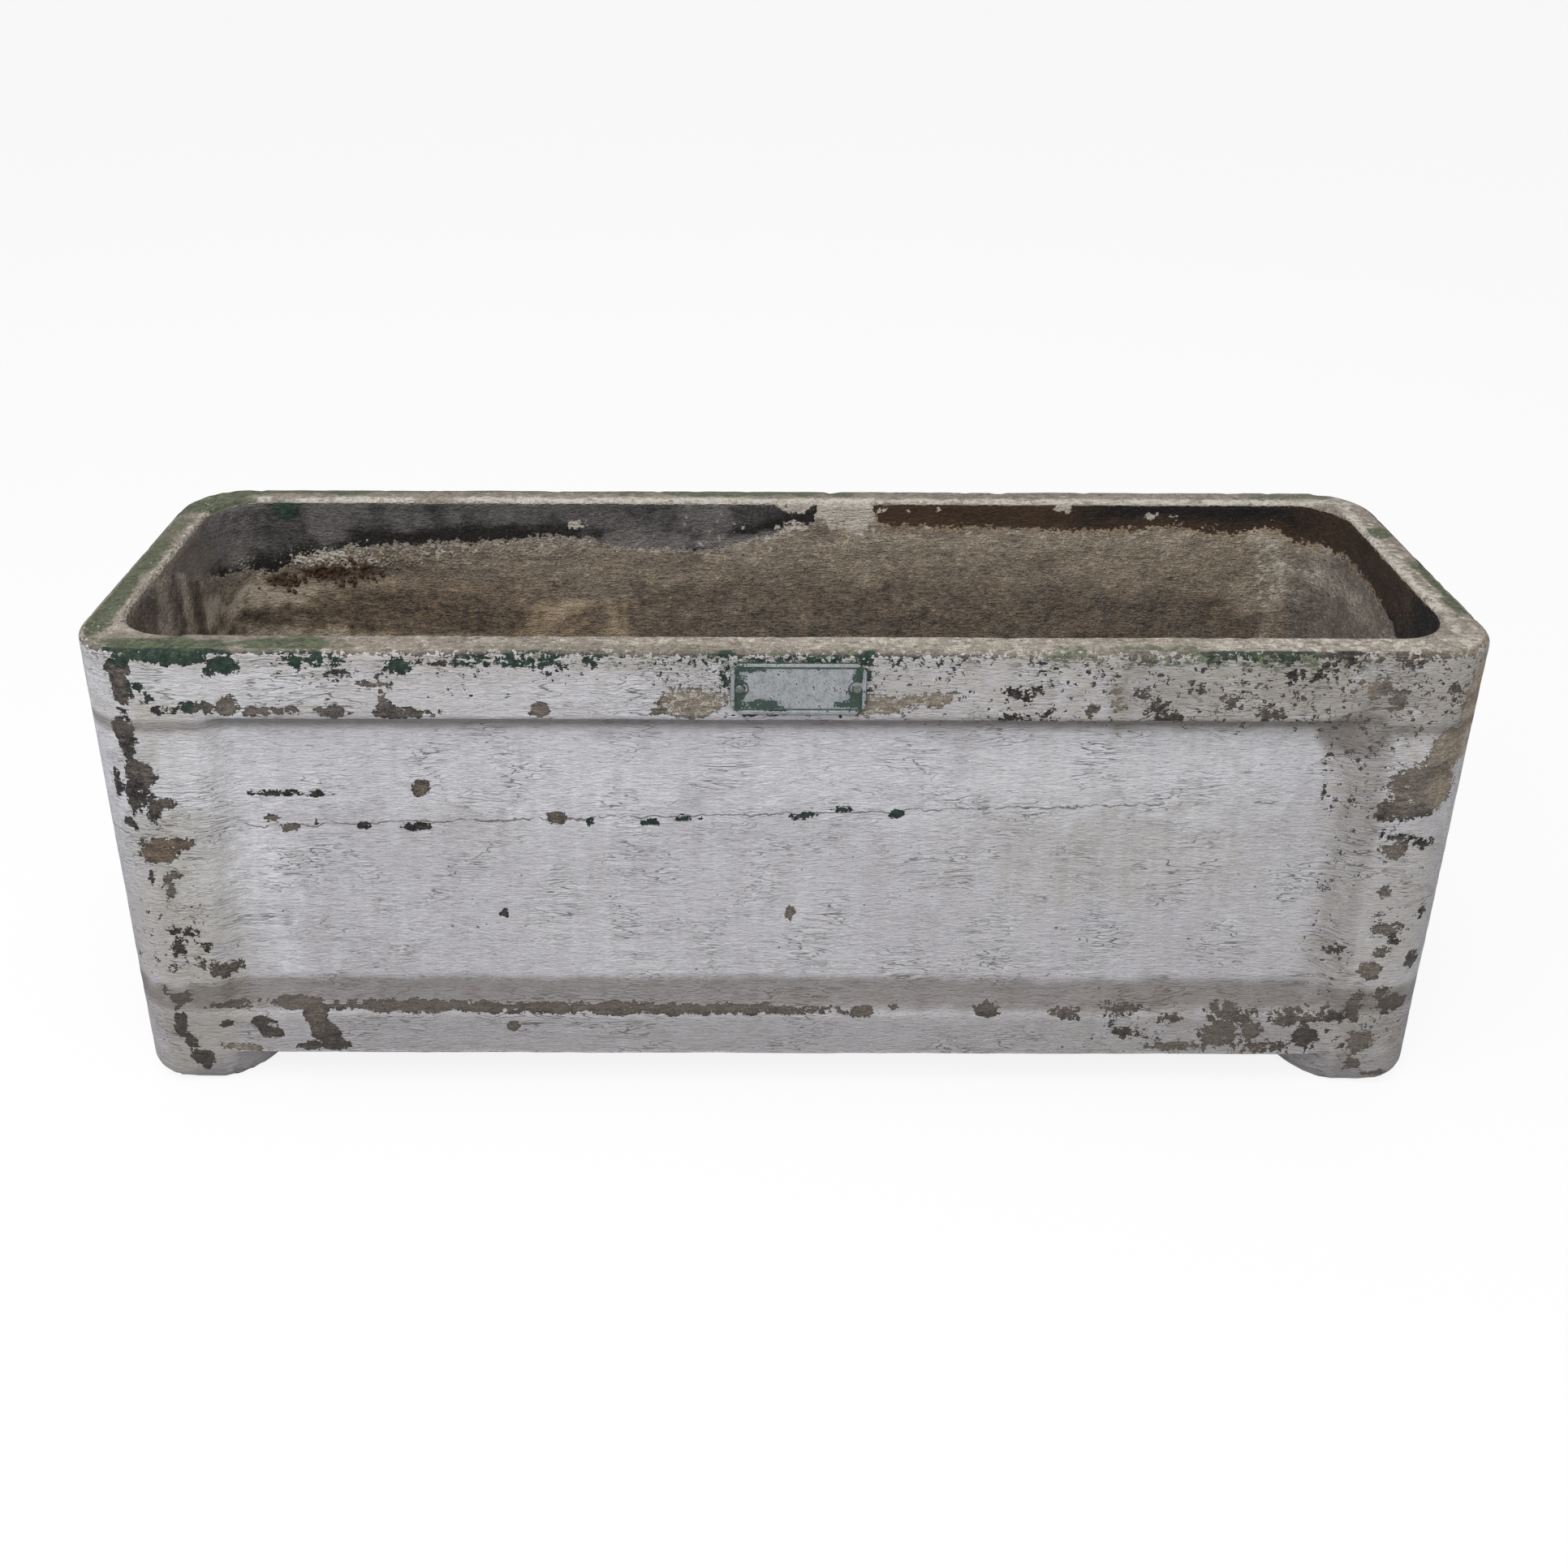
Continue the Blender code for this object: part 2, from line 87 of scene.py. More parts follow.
def add(tree: bpy.types.NodeTree, kind: str, *values: Any, out: str | None = None,
        named: dict[str, Any] | None = None, **settings: Any) -> Any:
    """Add a node with its settings, its values and its links.

    Args:
        tree: The tree that takes the node.
        kind: The node's type name, which goes without "ShaderNode" if it is a shader's.
        *values: Values, hex colours or sockets for the inputs in use, in order. None leaves one as it is.
        out: Name of the output that is wanted, if that isn't the first in use.
        named: Values, hex colours or sockets by input name.
        **settings: Properties of the node.

    Returns:
        The socket of the output, or None where the node has none.
    """
    node = tree.nodes.new(kind if "Node" in kind else "ShaderNode" + kind)
    for name, value in settings.items():
        setattr(node, name, value)
    given = list(zip([socket for socket in node.inputs if socket.enabled], values))
    given += [(node.inputs[name], value) for name, value in (named or {}).items()]
    for socket, value in given:
        if isinstance(value, bpy.types.NodeSocket):
            tree.links.new(value, socket)
        elif value is not None:
            socket.default_value = linear(value) if socket.type == "RGBA" else value
    return node.outputs[out] if out else next((socket for socket in node.outputs if socket.enabled), None)


def summed(tree: bpy.types.NodeTree, start: Any, *terms: tuple[Any, float]) -> Any:
    """Add to a value the swing of each pattern about its middle, each times its weight.

    Args:
        tree: The tree that takes the nodes.
        start: The value or socket to start from.
        *terms: Patterns between 0 and 1, each with its weight.

    Returns:
        The socket of the sum.
    """
    total = start
    for pattern, weight in terms:
        total = add(tree, "Math", pattern, weight, total, operation="MULTIPLY_ADD")
    middle = sum(weight for _, weight in terms) / 2
    return add(tree, "Math", total, middle, operation="SUBTRACT")


def painted(tree: bpy.types.NodeTree, ground: Any, *coats: tuple[Any, Any]) -> Any:
    """Lay coats of colour over a ground, one after the other, each with the share of it that it hides.

    Args:
        tree: The tree that takes the nodes.
        ground: The first colour.
        *coats: The share from 0 to 1 and the colour of each coat.

    Returns:
        The socket of the colour that shows.
    """
    for share, colour in coats:
        ground = add(tree, "Mix", share, ground, colour, data_type="RGBA")
    return ground


def greatest(tree: bpy.types.NodeTree, first: Any, *others: Any) -> Any:
    """The greatest of several sockets, as a socket."""
    for other in others:
        first = add(tree, "Math", first, other, operation="MAXIMUM")
    return first


def blank(block: bpy.types.Material | bpy.types.World) -> bpy.types.NodeTree:
    """Give a material or a world an empty node tree."""
    block.use_nodes = True
    block.node_tree.nodes.clear()
    return block.node_tree


def in_scene(name: str, data: bpy.types.ID) -> bpy.types.Object:
    """Put a mesh, a camera or a lamp in the scene as an object at the origin."""
    made = bpy.data.objects.new(name, data)
    bpy.context.scene.collection.objects.link(made)
    return made


def baked(host: bpy.types.Object) -> bpy.types.Object:
    """Turn an object's modifiers into plain mesh.

    Args:
        host: The object, with its modifiers on it.

    Returns:
        The same object, with a mesh of its own and no modifiers.
    """
    graph = bpy.context.evaluated_depsgraph_get()
    mesh = bpy.data.meshes.new_from_object(host.evaluated_get(graph), preserve_all_data_layers=True,
                                           depsgraph=graph)
    host.modifiers.clear()
    host.data = mesh
    return host


def lofted(rings: list[list[Vector]]) -> bmesh.types.BMesh:
    """Join rings of equal count into a closed skin with capped ends.

    Args:
        rings: Points, ring by ring.

    Returns:
        The skin, its normals pointing out.
    """
    work = bmesh.new()
    rows = [[work.verts.new(point) for point in ring] for ring in rings]
    work.faces.new(rows[0])
    work.faces.new(rows[-1])
    for lower, upper in zip(rows, rows[1:]):
        for i in range(len(lower)):
            work.faces.new((lower[i - 1], lower[i], upper[i], upper[i - 1]))
    bmesh.ops.recalc_face_normals(work, faces=work.faces)
    return work


def as_mesh(name: str, work: bmesh.types.BMesh, sharp: float = 35.0) -> bpy.types.Mesh:
    """Make a mesh of a bmesh, smooth but for edges sharper than an angle in degrees."""
    mesh = bpy.data.meshes.new(name)
    work.to_mesh(mesh)
    work.free()
    mesh.shade_smooth()
    mesh.set_sharp_from_angle(angle=math.radians(sharp))
    return mesh


@dataclass
class NodeRecipe:
    """A Geometry Nodes tree with named inputs, which is run once and leaves a plain mesh.

    Each input has a socket kind and a value. One of them is Finish, the material.
    """

    name: str
    inputs: dict[str, tuple[str, Any]]

    def __post_init__(self) -> None:
        """Make the tree with its sockets."""
        self.tree = bpy.data.node_groups.new(self.name, "GeometryNodeTree")
        sockets = [("Base", "INPUT", "NodeSocketGeometry")]
        sockets += [(key, "INPUT", f"NodeSocket{kind}") for key, (kind, _) in self.inputs.items()]
        for name, way, kind in sockets + [("Made", "OUTPUT", "NodeSocketGeometry")]:
            self.tree.interface.new_socket(name=name, in_out=way, socket_type=kind)
        self.given = add(self.tree, "NodeGroupInput").node.outputs

    def run(self, made: bpy.types.NodeSocket, base: bpy.types.Mesh) -> bpy.types.Object:
        """End the tree, run it on a base mesh and keep what it makes.

        Args:
            made: The socket of the geometry that is wanted.
            base: The mesh that the tree starts from.

        Returns:
            An object with a plain mesh.
        """
        real = add(self.tree, "GeometryNodeRealizeInstances", made)
        dressed = add(self.tree, "GeometryNodeSetMaterial", real, None, self.given["Finish"])
        add(self.tree, "NodeGroupOutput", dressed)
        host = in_scene(self.name, base)
        step = host.modifiers.new(self.name, "NODES")
        step.node_group = self.tree
        for item in self.tree.interface.items_tree:
            if item.in_out == "INPUT" and item.name in self.inputs:
                step[item.identifier] = self.inputs[item.name][1]
        return baked(host)


class Finish:
    """A finish drawn in shader nodes from the place on the piece. Each has a name and its own drawing."""

    name: str

    def draw(self, tree: bpy.types.NodeTree, place: Any) -> dict[str, Any]:
        """Draw the finish, and give the values and sockets of the shader by input name."""
        raise NotImplementedError

    def make(self) -> bpy.types.Material:
        """Build the material.

        Returns:
            The finished material.
        """
        made = bpy.data.materials.new(self.name)
        tree = blank(made)
        drawn = self.draw(tree, add(tree, "TexCoord", out="Object"))
        add(tree, "OutputMaterial", add(tree, "BsdfPrincipled", named=drawn))
        return made


class Zone(Enum):
    """The faces of the casting, each with its own two directions for the places of wear."""

    OUTSIDE = 0  # distance round from the front's middle, and height
    RIM = 1  # length and width
    HOLLOW = 2  # distance round from the back wall's middle, and depth below the rim
    UNDERSIDE = 3  # distance round as outside, and distance in from the outer edge


class Layer(Enum):
    """What the casting's surface carries, each a number from 0 to 1 at every vertex."""

    PAINT = "paint"
    GREEN = "green"
    TONE = "tone"
    WARM = "warm"
    ALGAE = "algae"
    # Dirt, and painted shade in the coves and on the feet's cheeks
    GRIME_AND_SHADE = "grime"
    CREAM = "cream"
    # Paler paint, and painted light across the top of the front panel
    PALE = "pale"
    CRUMBLE = "crumble"
    CRUST = "crust"
    SOIL = "soil"
    SOOT = "soot"
    # Chalky concrete and crust, and a painted highlight along the rim's outer arris
    CHALK_AND_HIGHLIGHT = "chalk"
    SMOKE = "smoke"
    SEAM = "seam"


class Under(Enum):
    """What shows where the paint is gone: brightness of the concrete, green paint, and warmth."""

    CHARCOAL = (0.17, 0.0, 0.06)
    BROWN = (0.34, 0.0, 0.22)
    TAUPE = (0.48, 0.0, 0.12)
    TAN = (0.72, 0.0, 0.28)
    RUST = (0.40, 0.0, 0.60)
    GREEN = (0.25, 1.0, 0.00)
    OCHRE = (0.95, 0.0, 0.45)


CHARCOAL, BROWN, TAUPE, TAN, RUST, GREEN, OCHRE = Under


@dataclass(frozen=True)
class Bare:
    """A patch of lost paint on the outside: its middle and half sizes in millimetres."""

    under: Under
    along: float
    height: float
    half_length: float
    half_height: float


@dataclass(frozen=True)
class Stain:
    """A soft patch of one layer: its middle, half sizes and the width of its edge in millimetres."""

    zone: Zone
    layer: Layer
    along: float
    across: float
    half_length: float
    half_across: float
    strength: float
    edge: float


# Patches of lost paint on the front and its corners, each laid over those before it: what shows, the place
# round and up, and the half sizes
BARE_PATCHES = (
    # Chain of patches down the left corner
    (CHARCOAL, -459, 366, 11, 9), (BROWN, -459, 350, 7, 13), (CHARCOAL, -462, 306, 8, 21),
    (BROWN, -456, 280, 12, 14), (CHARCOAL, -463, 258, 5, 15), (CHARCOAL, -450, 250, 4, 12),
    (BROWN, -440, 256, 7, 4), (CHARCOAL, -476, 276, 4, 14), (CHARCOAL, -470, 238, 8, 5),
    (RUST, -446, 222, 24, 5), (RUST, -453, 212, 13, 8), (CHARCOAL, -459, 194, 3, 6), (TAUPE, -445, 195, 8, 4),
    (TAUPE, -447, 184, 4, 8), (CHARCOAL, -444, 145, 10, 4), (CHARCOAL, -447, 131, 4, 7),
    (CHARCOAL, -456, 110, 4, 4), (CHARCOAL, -425, 128, 4, 3), (BROWN, -426, 115, 9, 3),
    (BROWN, -418, 108, 13, 6), (CHARCOAL, -452, 82, 9, 7), (CHARCOAL, -455, 60, 5, 15),
    (CHARCOAL, -449, 40, 4, 9), (CHARCOAL, -441, 28, 11, 7), (CHARCOAL, -466, 88, 3, 6),
    # Green strip under the rim and chips in the left of the upper band
    (GREEN, -446, 375, 20, 4), (GREEN, -418, 373, 26, 6), (GREEN, -386, 369, 14, 8),
    (CHARCOAL, -232, 371, 14, 1.5), (CHARCOAL, -350, 362, 5, 2), (CHARCOAL, -308, 362, 6, 2),
    (CHARCOAL, -136, 373, 4, 2), (TAUPE, -308, 374, 8, 2.5), (GREEN, -337, 372, 17, 3),
    (GREEN, -266, 368, 7, 6), (GREEN, -278, 362, 6, 3), (GREEN, -182, 372, 22, 2.5),
    (GREEN, 8, 372.4, 40, 1.4), (GREEN, 57.5, 362, 1.6, 8), (GREEN, -40.5, 350, 1.6, 14),
    (GREEN, -18, 330.5, 22, 1.5), (GREEN, -448, 351, 4, 3), (GREEN, -443, 342, 3, 4),
    (GREEN, -398, 361, 4, 3), (CHARCOAL, -437, 332, 4, 3), (CHARCOAL, -427, 332, 4, 3),
    (GREEN, -413, 334, 7, 4), (CHARCOAL, -401, 333, 3, 5), (BROWN, -388, 335, 8, 6),
    (TAUPE, -358, 332, 24, 3.5), (TAUPE, -318, 331, 17, 4), (TAUPE, -284, 353, 10, 3.5),
    (TAUPE, -280, 342, 4, 8), (BROWN, -270, 331, 21, 4), (TAUPE, -171, 334, 7, 6),
    (TAN, -67, 339, 26, 10), (TAUPE, -88, 334, 7, 5), (TAN, 70, 338, 15, 9), (TAN, 96, 342, 20, 6),
    # Chips in the right of the upper band
    (CHARCOAL, 161, 347, 5, 3), (CHARCOAL, 172, 347, 4, 3), (CHARCOAL, 159, 327, 8, 2.5),
    (CHARCOAL, 181, 327, 6, 2.5), (TAN, 230, 344, 6, 10), (TAUPE, 215, 335, 5, 4), (BROWN, 252, 347, 6, 3),
    (CHARCOAL, 260, 336, 5, 3), (CHARCOAL, 268, 328, 10, 3), (CHARCOAL, 286, 352, 5, 3),
    (BROWN, 309, 342, 5, 3), (BROWN, 339, 331, 7, 4), (CHARCOAL, 353, 363, 5, 4),
    (CHARCOAL, 371, 366, 5, 2.5), (BROWN, 356, 345, 4, 3),
    (TAN, 410, 352, 10, 6), (TAUPE, 424, 344, 7, 9), (BROWN, 464, 350, 5, 5), (TAUPE, 250, 377, 12, 2.5),
    (CHARCOAL, 394, 376, 13, 3.5), (BROWN, 433, 376, 14, 4.5), (GREEN, 302, 377, 8, 2.5),
    (GREEN, 326, 377, 6, 2.5), (GREEN, 347, 377, 7, 2.5),
    # Chips and the long crack in the panel
    (BROWN, -260, 264, 6, 7), (BROWN, -163, 238, 7, 6), (TAUPE, 6, 154, 4, 8), (CHARCOAL, -366, 259, 15, 2),
    (CHARCOAL, -336, 258, 4, 2.5), (TAUPE, -367, 237, 9, 4), (TAUPE, -356, 230, 9, 4),
    (CHARCOAL, -338, 234, 3, 4), (CHARCOAL, -303, 232, 5, 4), (CHARCOAL, -264, 231, 10, 3),
    (GREEN, -140, 235, 4, 3), (GREEN, -97, 235, 7, 2.5),
    (GREEN, -71, 239, 9, 3), (GREEN, 15, 241, 9, 4), (GREEN, 43, 246, 7, 2.5), (GREEN, 81, 243, 5, 4),
    (CHARCOAL, -206, 154, 3.5, 3.5),
    # Arris of the base band, from left to right
    (CHARCOAL, -411, 75, 21, 2.5), (CHARCOAL, -396, 60, 10, 5), (CHARCOAL, -388, 50, 9, 6),
    (CHARCOAL, -421, 59, 5, 3.5), (TAN, -409, 36, 16, 5), (BROWN, -360, 76, 20, 5), (BROWN, -352, 66, 9, 8),
    (BROWN, -346, 52, 10, 10), (CHARCOAL, -338, 39, 13, 6), (CHARCOAL, -360, 37, 10, 4),
    (BROWN, -322, 74, 34, 4), (BROWN, -262, 73, 75, 4), (BROWN, -190, 72, 44, 4),
    (BROWN, -120, 72, 80, 4.5), (BROWN, -40, 72, 50, 3.5),
    (BROWN, 10, 71, 40, 3), (BROWN, 62, 70, 13, 5), (CHARCOAL, 87, 73, 5, 3), (TAUPE, -203, 58, 5, 6),
    (CHARCOAL, 158, 71, 9, 5), (BROWN, 215, 69, 10, 4), (CHARCOAL, 264, 73, 13, 4), (BROWN, 300, 66, 10, 4),
    (CHARCOAL, 264, 53, 9, 4), (BROWN, 338, 70, 17, 7), (TAUPE, 336, 52, 13, 12), (TAUPE, 358, 52, 8, 8),
    (BROWN, 366, 39, 16, 6), (TAUPE, 300, 39, 20, 4), (BROWN, 392, 66, 18, 7), (CHARCOAL, 400, 50, 10, 10),
    # Right stile and corner
    (CHARCOAL, 430, 250, 9, 6), (BROWN, 446, 254, 22, 9), (OCHRE, 502, 344, 22, 26),
    (OCHRE, 488, 314, 14, 26), (TAN, 468, 298, 14, 22), (TAUPE, 456, 272, 25, 19),
    (TAN, 470, 268, 10, 10), (CHARCOAL, 445, 228, 8, 4),
    (TAUPE, 442, 217, 9, 7), (CHARCOAL, 465, 224, 7, 5), (TAUPE, 441, 183, 6, 6), (TAUPE, 440, 161, 4, 3),
    (TAUPE, 450, 149, 12, 5), (CHARCOAL, 455, 137, 5, 4), (TAUPE, 447, 127, 7, 4), (TAUPE, 441, 112, 9, 9),
    (BROWN, 478, 117, 7, 9), (CHARCOAL, 452, 91, 5, 5), (BROWN, 434, 80, 6, 13), (CHARCOAL, 470, 79, 14, 7),
    (TAUPE, 444, 44, 9, 13), (TAUPE, 440, 22, 8, 7), (TAUPE, 460, 13, 16, 3.5), (CHARCOAL, 412, 128, 4, 4),
    (CHARCOAL, 421, 66, 6, 5), (CHARCOAL, 478, 160, 4, 7),
)

# Soft patches by zone and layer, each laid after those before it: the place in the zone's two directions, the
# half sizes, the strength and the width of the edge
STAINS = {
    # Algae that creeps over the arris and round the plate
    (Zone.OUTSIDE, Layer.ALGAE): ((-420, 378, 60, 4, 0.36, 5), (285, 373, 50, 4, 0.55, 6),
                                  (-20, 372, 70, 5, 0.42, 8), (8, 355, 58, 24, 0.34, 12)),
    # Warmer paint on the stiles and bands, paler paint in the panel and the upper band's middle, and painted
    # light in the panel
    (Zone.OUTSIDE, Layer.CREAM): (
        (-438, 200, 20, 190, 0.75, 44), (-380, 352, 90, 24, 0.5, 30), (380, 352, 110, 24, 0.8, 40),
        (455, 100, 36, 100, 0.5, 36), (240, 235, 70, 50, 0.55, 50), (-240, 262, 30, 22, 0.4, 30)),
    (Zone.OUTSIDE, Layer.PALE): (
        # Rows near 275 to 285 mm high: painted light across the panel's top under the cove, where light from
        # above falls
        (-380, 232, 8, 50, 0.8, 26), (-345, 275, 36, 26, 0.8, 24), (-60, 280, 350, 22, 0.78, 44),
        (250, 285, 110, 16, 0.75, 30), (-350, 354, 80, 9, 0.7, 14), (-120, 352, 130, 10, 0.6, 14),
        (180, 352, 60, 10, 0.55, 14), (0, 205, 370, 110, 0.34, 60), (408, 190, 10, 100, 0.55, 12),
        (-428, 300, 8, 20, 0.35, 12)),
    # Dirt in the corners of the recess, on the bands and on the feet
    (Zone.OUTSIDE, Layer.GRIME_AND_SHADE): (
        (402, 314, 18, 16, 0.95, 12), (256, 350, 24, 14, 0.42, 16), (380, 350, 110, 24, 0.26, 30),
        (345, 60, 76, 20, 0.45, 26), (0, 50, 440, 14, 0.48, 20), (-440, 14, 50, 14, 0.5, 14),
        (450, 14, 50, 14, 0.62, 14), (250, 170, 110, 60, 0.16, 60), (412, 190, 9, 110, 0.5, 12),
        (404, 180, 6, 100, 0.3, 8)),
    # Crumbled paint, chalky concrete, the long crack's path and warmer concrete
    (Zone.OUTSIDE, Layer.CRUMBLE): (
        (390, 352, 80, 22, 0.95, 30), (256, 352, 50, 20, 0.8, 20), (-60, 360, 26, 14, 0.75, 10),
        (84, 358, 30, 16, 0.8, 10), (170, 362, 60, 14, 0.6, 26), (-10, 372, 190, 7, 0.75, 10),
        (-230, 362, 70, 12, 0.55, 20), (406, 280, 14, 40, 0.9, 18), (160, 332, 60, 7, 0.7, 12),
        (440, 320, 40, 50, 0.75, 26), (350, 52, 80, 20, 0.6, 24), (408, 190, 9, 100, 0.72, 12),
        (448, 190, 20, 60, 0.4, 20), (-448, 240, 12, 90, 0.2, 14)),
    (Zone.OUTSIDE, Layer.CHALK_AND_HIGHLIGHT): ((-66, 340, 24, 9, 0.42, 6), (84, 339, 26, 9, 0.42, 6),
                                  # Along the rim's outer arris: a pale line that is dry crust with a painted
                                  # highlight
                                  (-455, 378, 26, 3, 0.62, 4), (320, 377, 110, 3, 0.46, 4),
                                  (0, 377, 240, 3, 0.4, 4)),
    (Zone.OUTSIDE, Layer.SEAM): ((-95, 240, 290, 16, 1.0, 14),),
    (Zone.OUTSIDE, Layer.WARM): ((488, 330, 16, 44, 0.5, 20), (-199, 361, 8, 7, 0.55, 6),
                                 (-102, 364, 9, 6, 0.55, 6)),
    # Algae on the rim's left end and the front's left, and thin growth on the rest
    (Zone.RIM, Layer.ALGAE): (
        (-491, -55, 8, 60, 0.84, 8), (-490, 50, 6, 30, 0.66, 7), (-474, 116, 22, 16, 0.92, 8),
        (-420, 143, 44, 5, 0.8, 6), (-412, -140, 56, 6, 0.95, 9), (-330, -143, 30, 3, 0.6, 8),
        (-100, -144, 60, 2, 0.55, 7), (60, 147, 330, 2, 0.42, 7), (-250, 146, 110, 3, 0.6, 7),
        (-15, 143, 50, 5, 0.72, 8), (486, 60, 8, 9, 0.9, 6), (493, -28, 4, 18, 0.9, 6),
        (493, -70, 4, 10, 0.9, 6), (440, 140, 30, 5, 0.6, 8), (250, -142, 26, 4, 0.66, 6)),
    # Paler and darker concrete of the rim, its chalky inner edge and its crust
    (Zone.RIM, Layer.TONE): (
        (-489, -128, 14, 8, 0.98, 6), (-440, -136, 40, 12, 0.62, 20), (-489, 0, 12, 150, 0.64, 10),
        (488, 0, 14, 150, 0.68, 10), (260, -139, 220, 12, 0.8, 20), (-475, 0, 2.5, 110, 0.8, 3),
        (476, 40, 2.5, 90, 0.98, 4), (0, 138, 440, 14, 0.62, 10), (100, 126, 340, 2.5, 0.94, 4)),
    (Zone.RIM, Layer.CHALK_AND_HIGHLIGHT): ((60, 127, 300, 2, 0.42, 4), (100, -136, 300, 10, 0.28, 10),
                              (420, -136, 60, 10, 0.38, 10), (480, 30, 8, 90, 0.38, 8),
                              (-477, 0, 2, 110, 0.28, 4)),
    (Zone.RIM, Layer.CRUST): ((-476, 0, 3, 120, 0.6, 4), (-489, -124, 10, 10, 0.6, 6),
                              (470, 70, 8, 50, 0.5, 8)),
    # Darker and paler smoke in the blackened band
    (Zone.HOLLOW, Layer.SMOKE): (
        (-560, 20, 90, 30, 0.62, 14), (-380, 18, 10, 14, 0.46, 12), (-310, 16, 12, 10, 0.46, 12),
        (-240, 10, 40, 5, 0.42, 10), (-118, 30, 22, 10, 0.42, 12), (-58, 20, 16, 8, 0.5, 10),
        (-60, 37, 40, 4, 0.62, 7), (640, 30, 40, 30, 0.05, 8)),
    # Warm and cool, pale and dark concrete of the hollow, from the left end wall to the right one
    (Zone.HOLLOW, Layer.WARM): (
        (-570, 24, 60, 30, 0.28, 20), (-424, 76, 11, 6, 0.8, 4), (-374, 68, 16, 5, 0.8, 4),
        (-410, 106, 64, 22, 0.5, 14), (-300, 104, 100, 22, 0.62, 14), (-168, 112, 42, 18, 0.9, 6),
        (62, 14, 18, 13, 0.35, 6), (200, 104, 220, 30, 0.46, 28), (550, 90, 100, 46, 0.0, 14)),
    (Zone.HOLLOW, Layer.TONE): (
        (-570, 70, 60, 40, 0.7, 25), (-510, 96, 22, 22, 1.0, 12), (-552, 84, 12, 40, 0.84, 22),
        (-594, 60, 14, 50, 0.78, 22), (-535, 70, 6, 30, 0.3, 8), (-575, 90, 5, 40, 0.34, 8),
        (-640, 40, 20, 40, 0.42, 14), (-462, 90, 14, 14, 0.26, 8), (-424, 76, 11, 6, 0.06, 4),
        (-374, 68, 16, 5, 0.06, 4), (-410, 106, 64, 22, 1.02, 14), (-300, 66, 44, 2, 0.3, 4),
        (-310, 100, 60, 12, 0.36, 14), (-300, 112, 110, 8, 0.3, 12), (-168, 112, 42, 18, 1.1, 6),
        (-120, 66, 100, 12, 0.62, 16), (-35, 50, 20, 4, 0.78, 5), (0, 38, 20, 4, 0.8, 5),
        (62, 14, 18, 13, 0.98, 6), (230, 38, 180, 6, 0.78, 8), (100, 52, 60, 8, 0.66, 12),
        (330, 66, 70, 16, 0.66, 20), (70, 64, 20, 10, 0.7, 10), (190, 110, 220, 18, 0.42, 28),
        (419, 30, 8, 5, 0.88, 6), (430, 72, 6, 34, 0.86, 8), (410, 88, 16, 12, 0.74, 10),
        (550, 84, 66, 46, 0.58, 14), (500, 60, 24, 5, 0.76, 8)),
    # Chalky edge under the band, white chips, lime crust, soil crumbs and a spot of green paint
    (Zone.HOLLOW, Layer.CHALK_AND_HIGHLIGHT): (
        (-376, 54, 26, 4, 0.5, 6), (-310, 47, 30, 2, 0.4, 6), (-225, 43, 30, 2, 0.3, 6),
        (62, 12, 20, 14, 0.74, 8), (240, 32, 170, 4, 0.2, 8), (-60, 40, 60, 6, 0.2, 8),
        (426, 60, 8, 30, 0.44, 8), (89, 9, 4, 3, 0.85, 4), (112, 10, 3, 3, 0.8, 4), (138, 9, 3, 3, 0.75, 4),
        (126, 24, 5, 2, 0.72, 3), (242, 6, 4, 2, 0.66, 3), (319, 13, 3, 2, 0.72, 2.5),
        (339, 12, 2.5, 2, 0.72, 2.5), (-172, 23, 4, 2, 0.76, 3), (16, 5, 9, 3, 0.7, 4),
        (14, 24, 9, 3, 0.64, 4), (-55, 26, 26, 8, 0.26, 8)),
    (Zone.HOLLOW, Layer.CRUST): ((-372, 54, 40, 5, 0.8, 6), (-290, 47, 50, 3, 0.45, 6)),
    (Zone.HOLLOW, Layer.SOIL): ((-424, 76, 14, 6, 1.0, 4), (-374, 68, 20, 6, 1.0, 4)),
    (Zone.HOLLOW, Layer.GREEN): ((-417, 10, 8, 9, 0.9, 4),),
}

# Distance round the hollow, and depth that the blackened band under the rim reaches there
SOOT_EDGE = (
    (-1156, 10), (-900, 14), (-700, 4), (-650, 2), (-600, 6), (-560, 20), (-520, 44), (-480, 58), (-432, 66),
    (-396, 50), (-357, 41), (-319, 40), (-262, 38), (-224, 36), (-186, 32), (-148, 38), (-125, 44), (-91, 44),
    (-53, 44), (-15, 33), (11, 25), (32, 20), (37, 4), (50, -12), (76, -12), (84, 16), (92, 23), (158, 23),
    (244, 24), (265, 27), (337, 22), (391, 29), (426, 24), (440, 34), (459, 35), (521, 32), (566, 36),
    (605, 46), (660, 60), (720, 30), (800, 12), (1000, 18), (1156, 10),
)


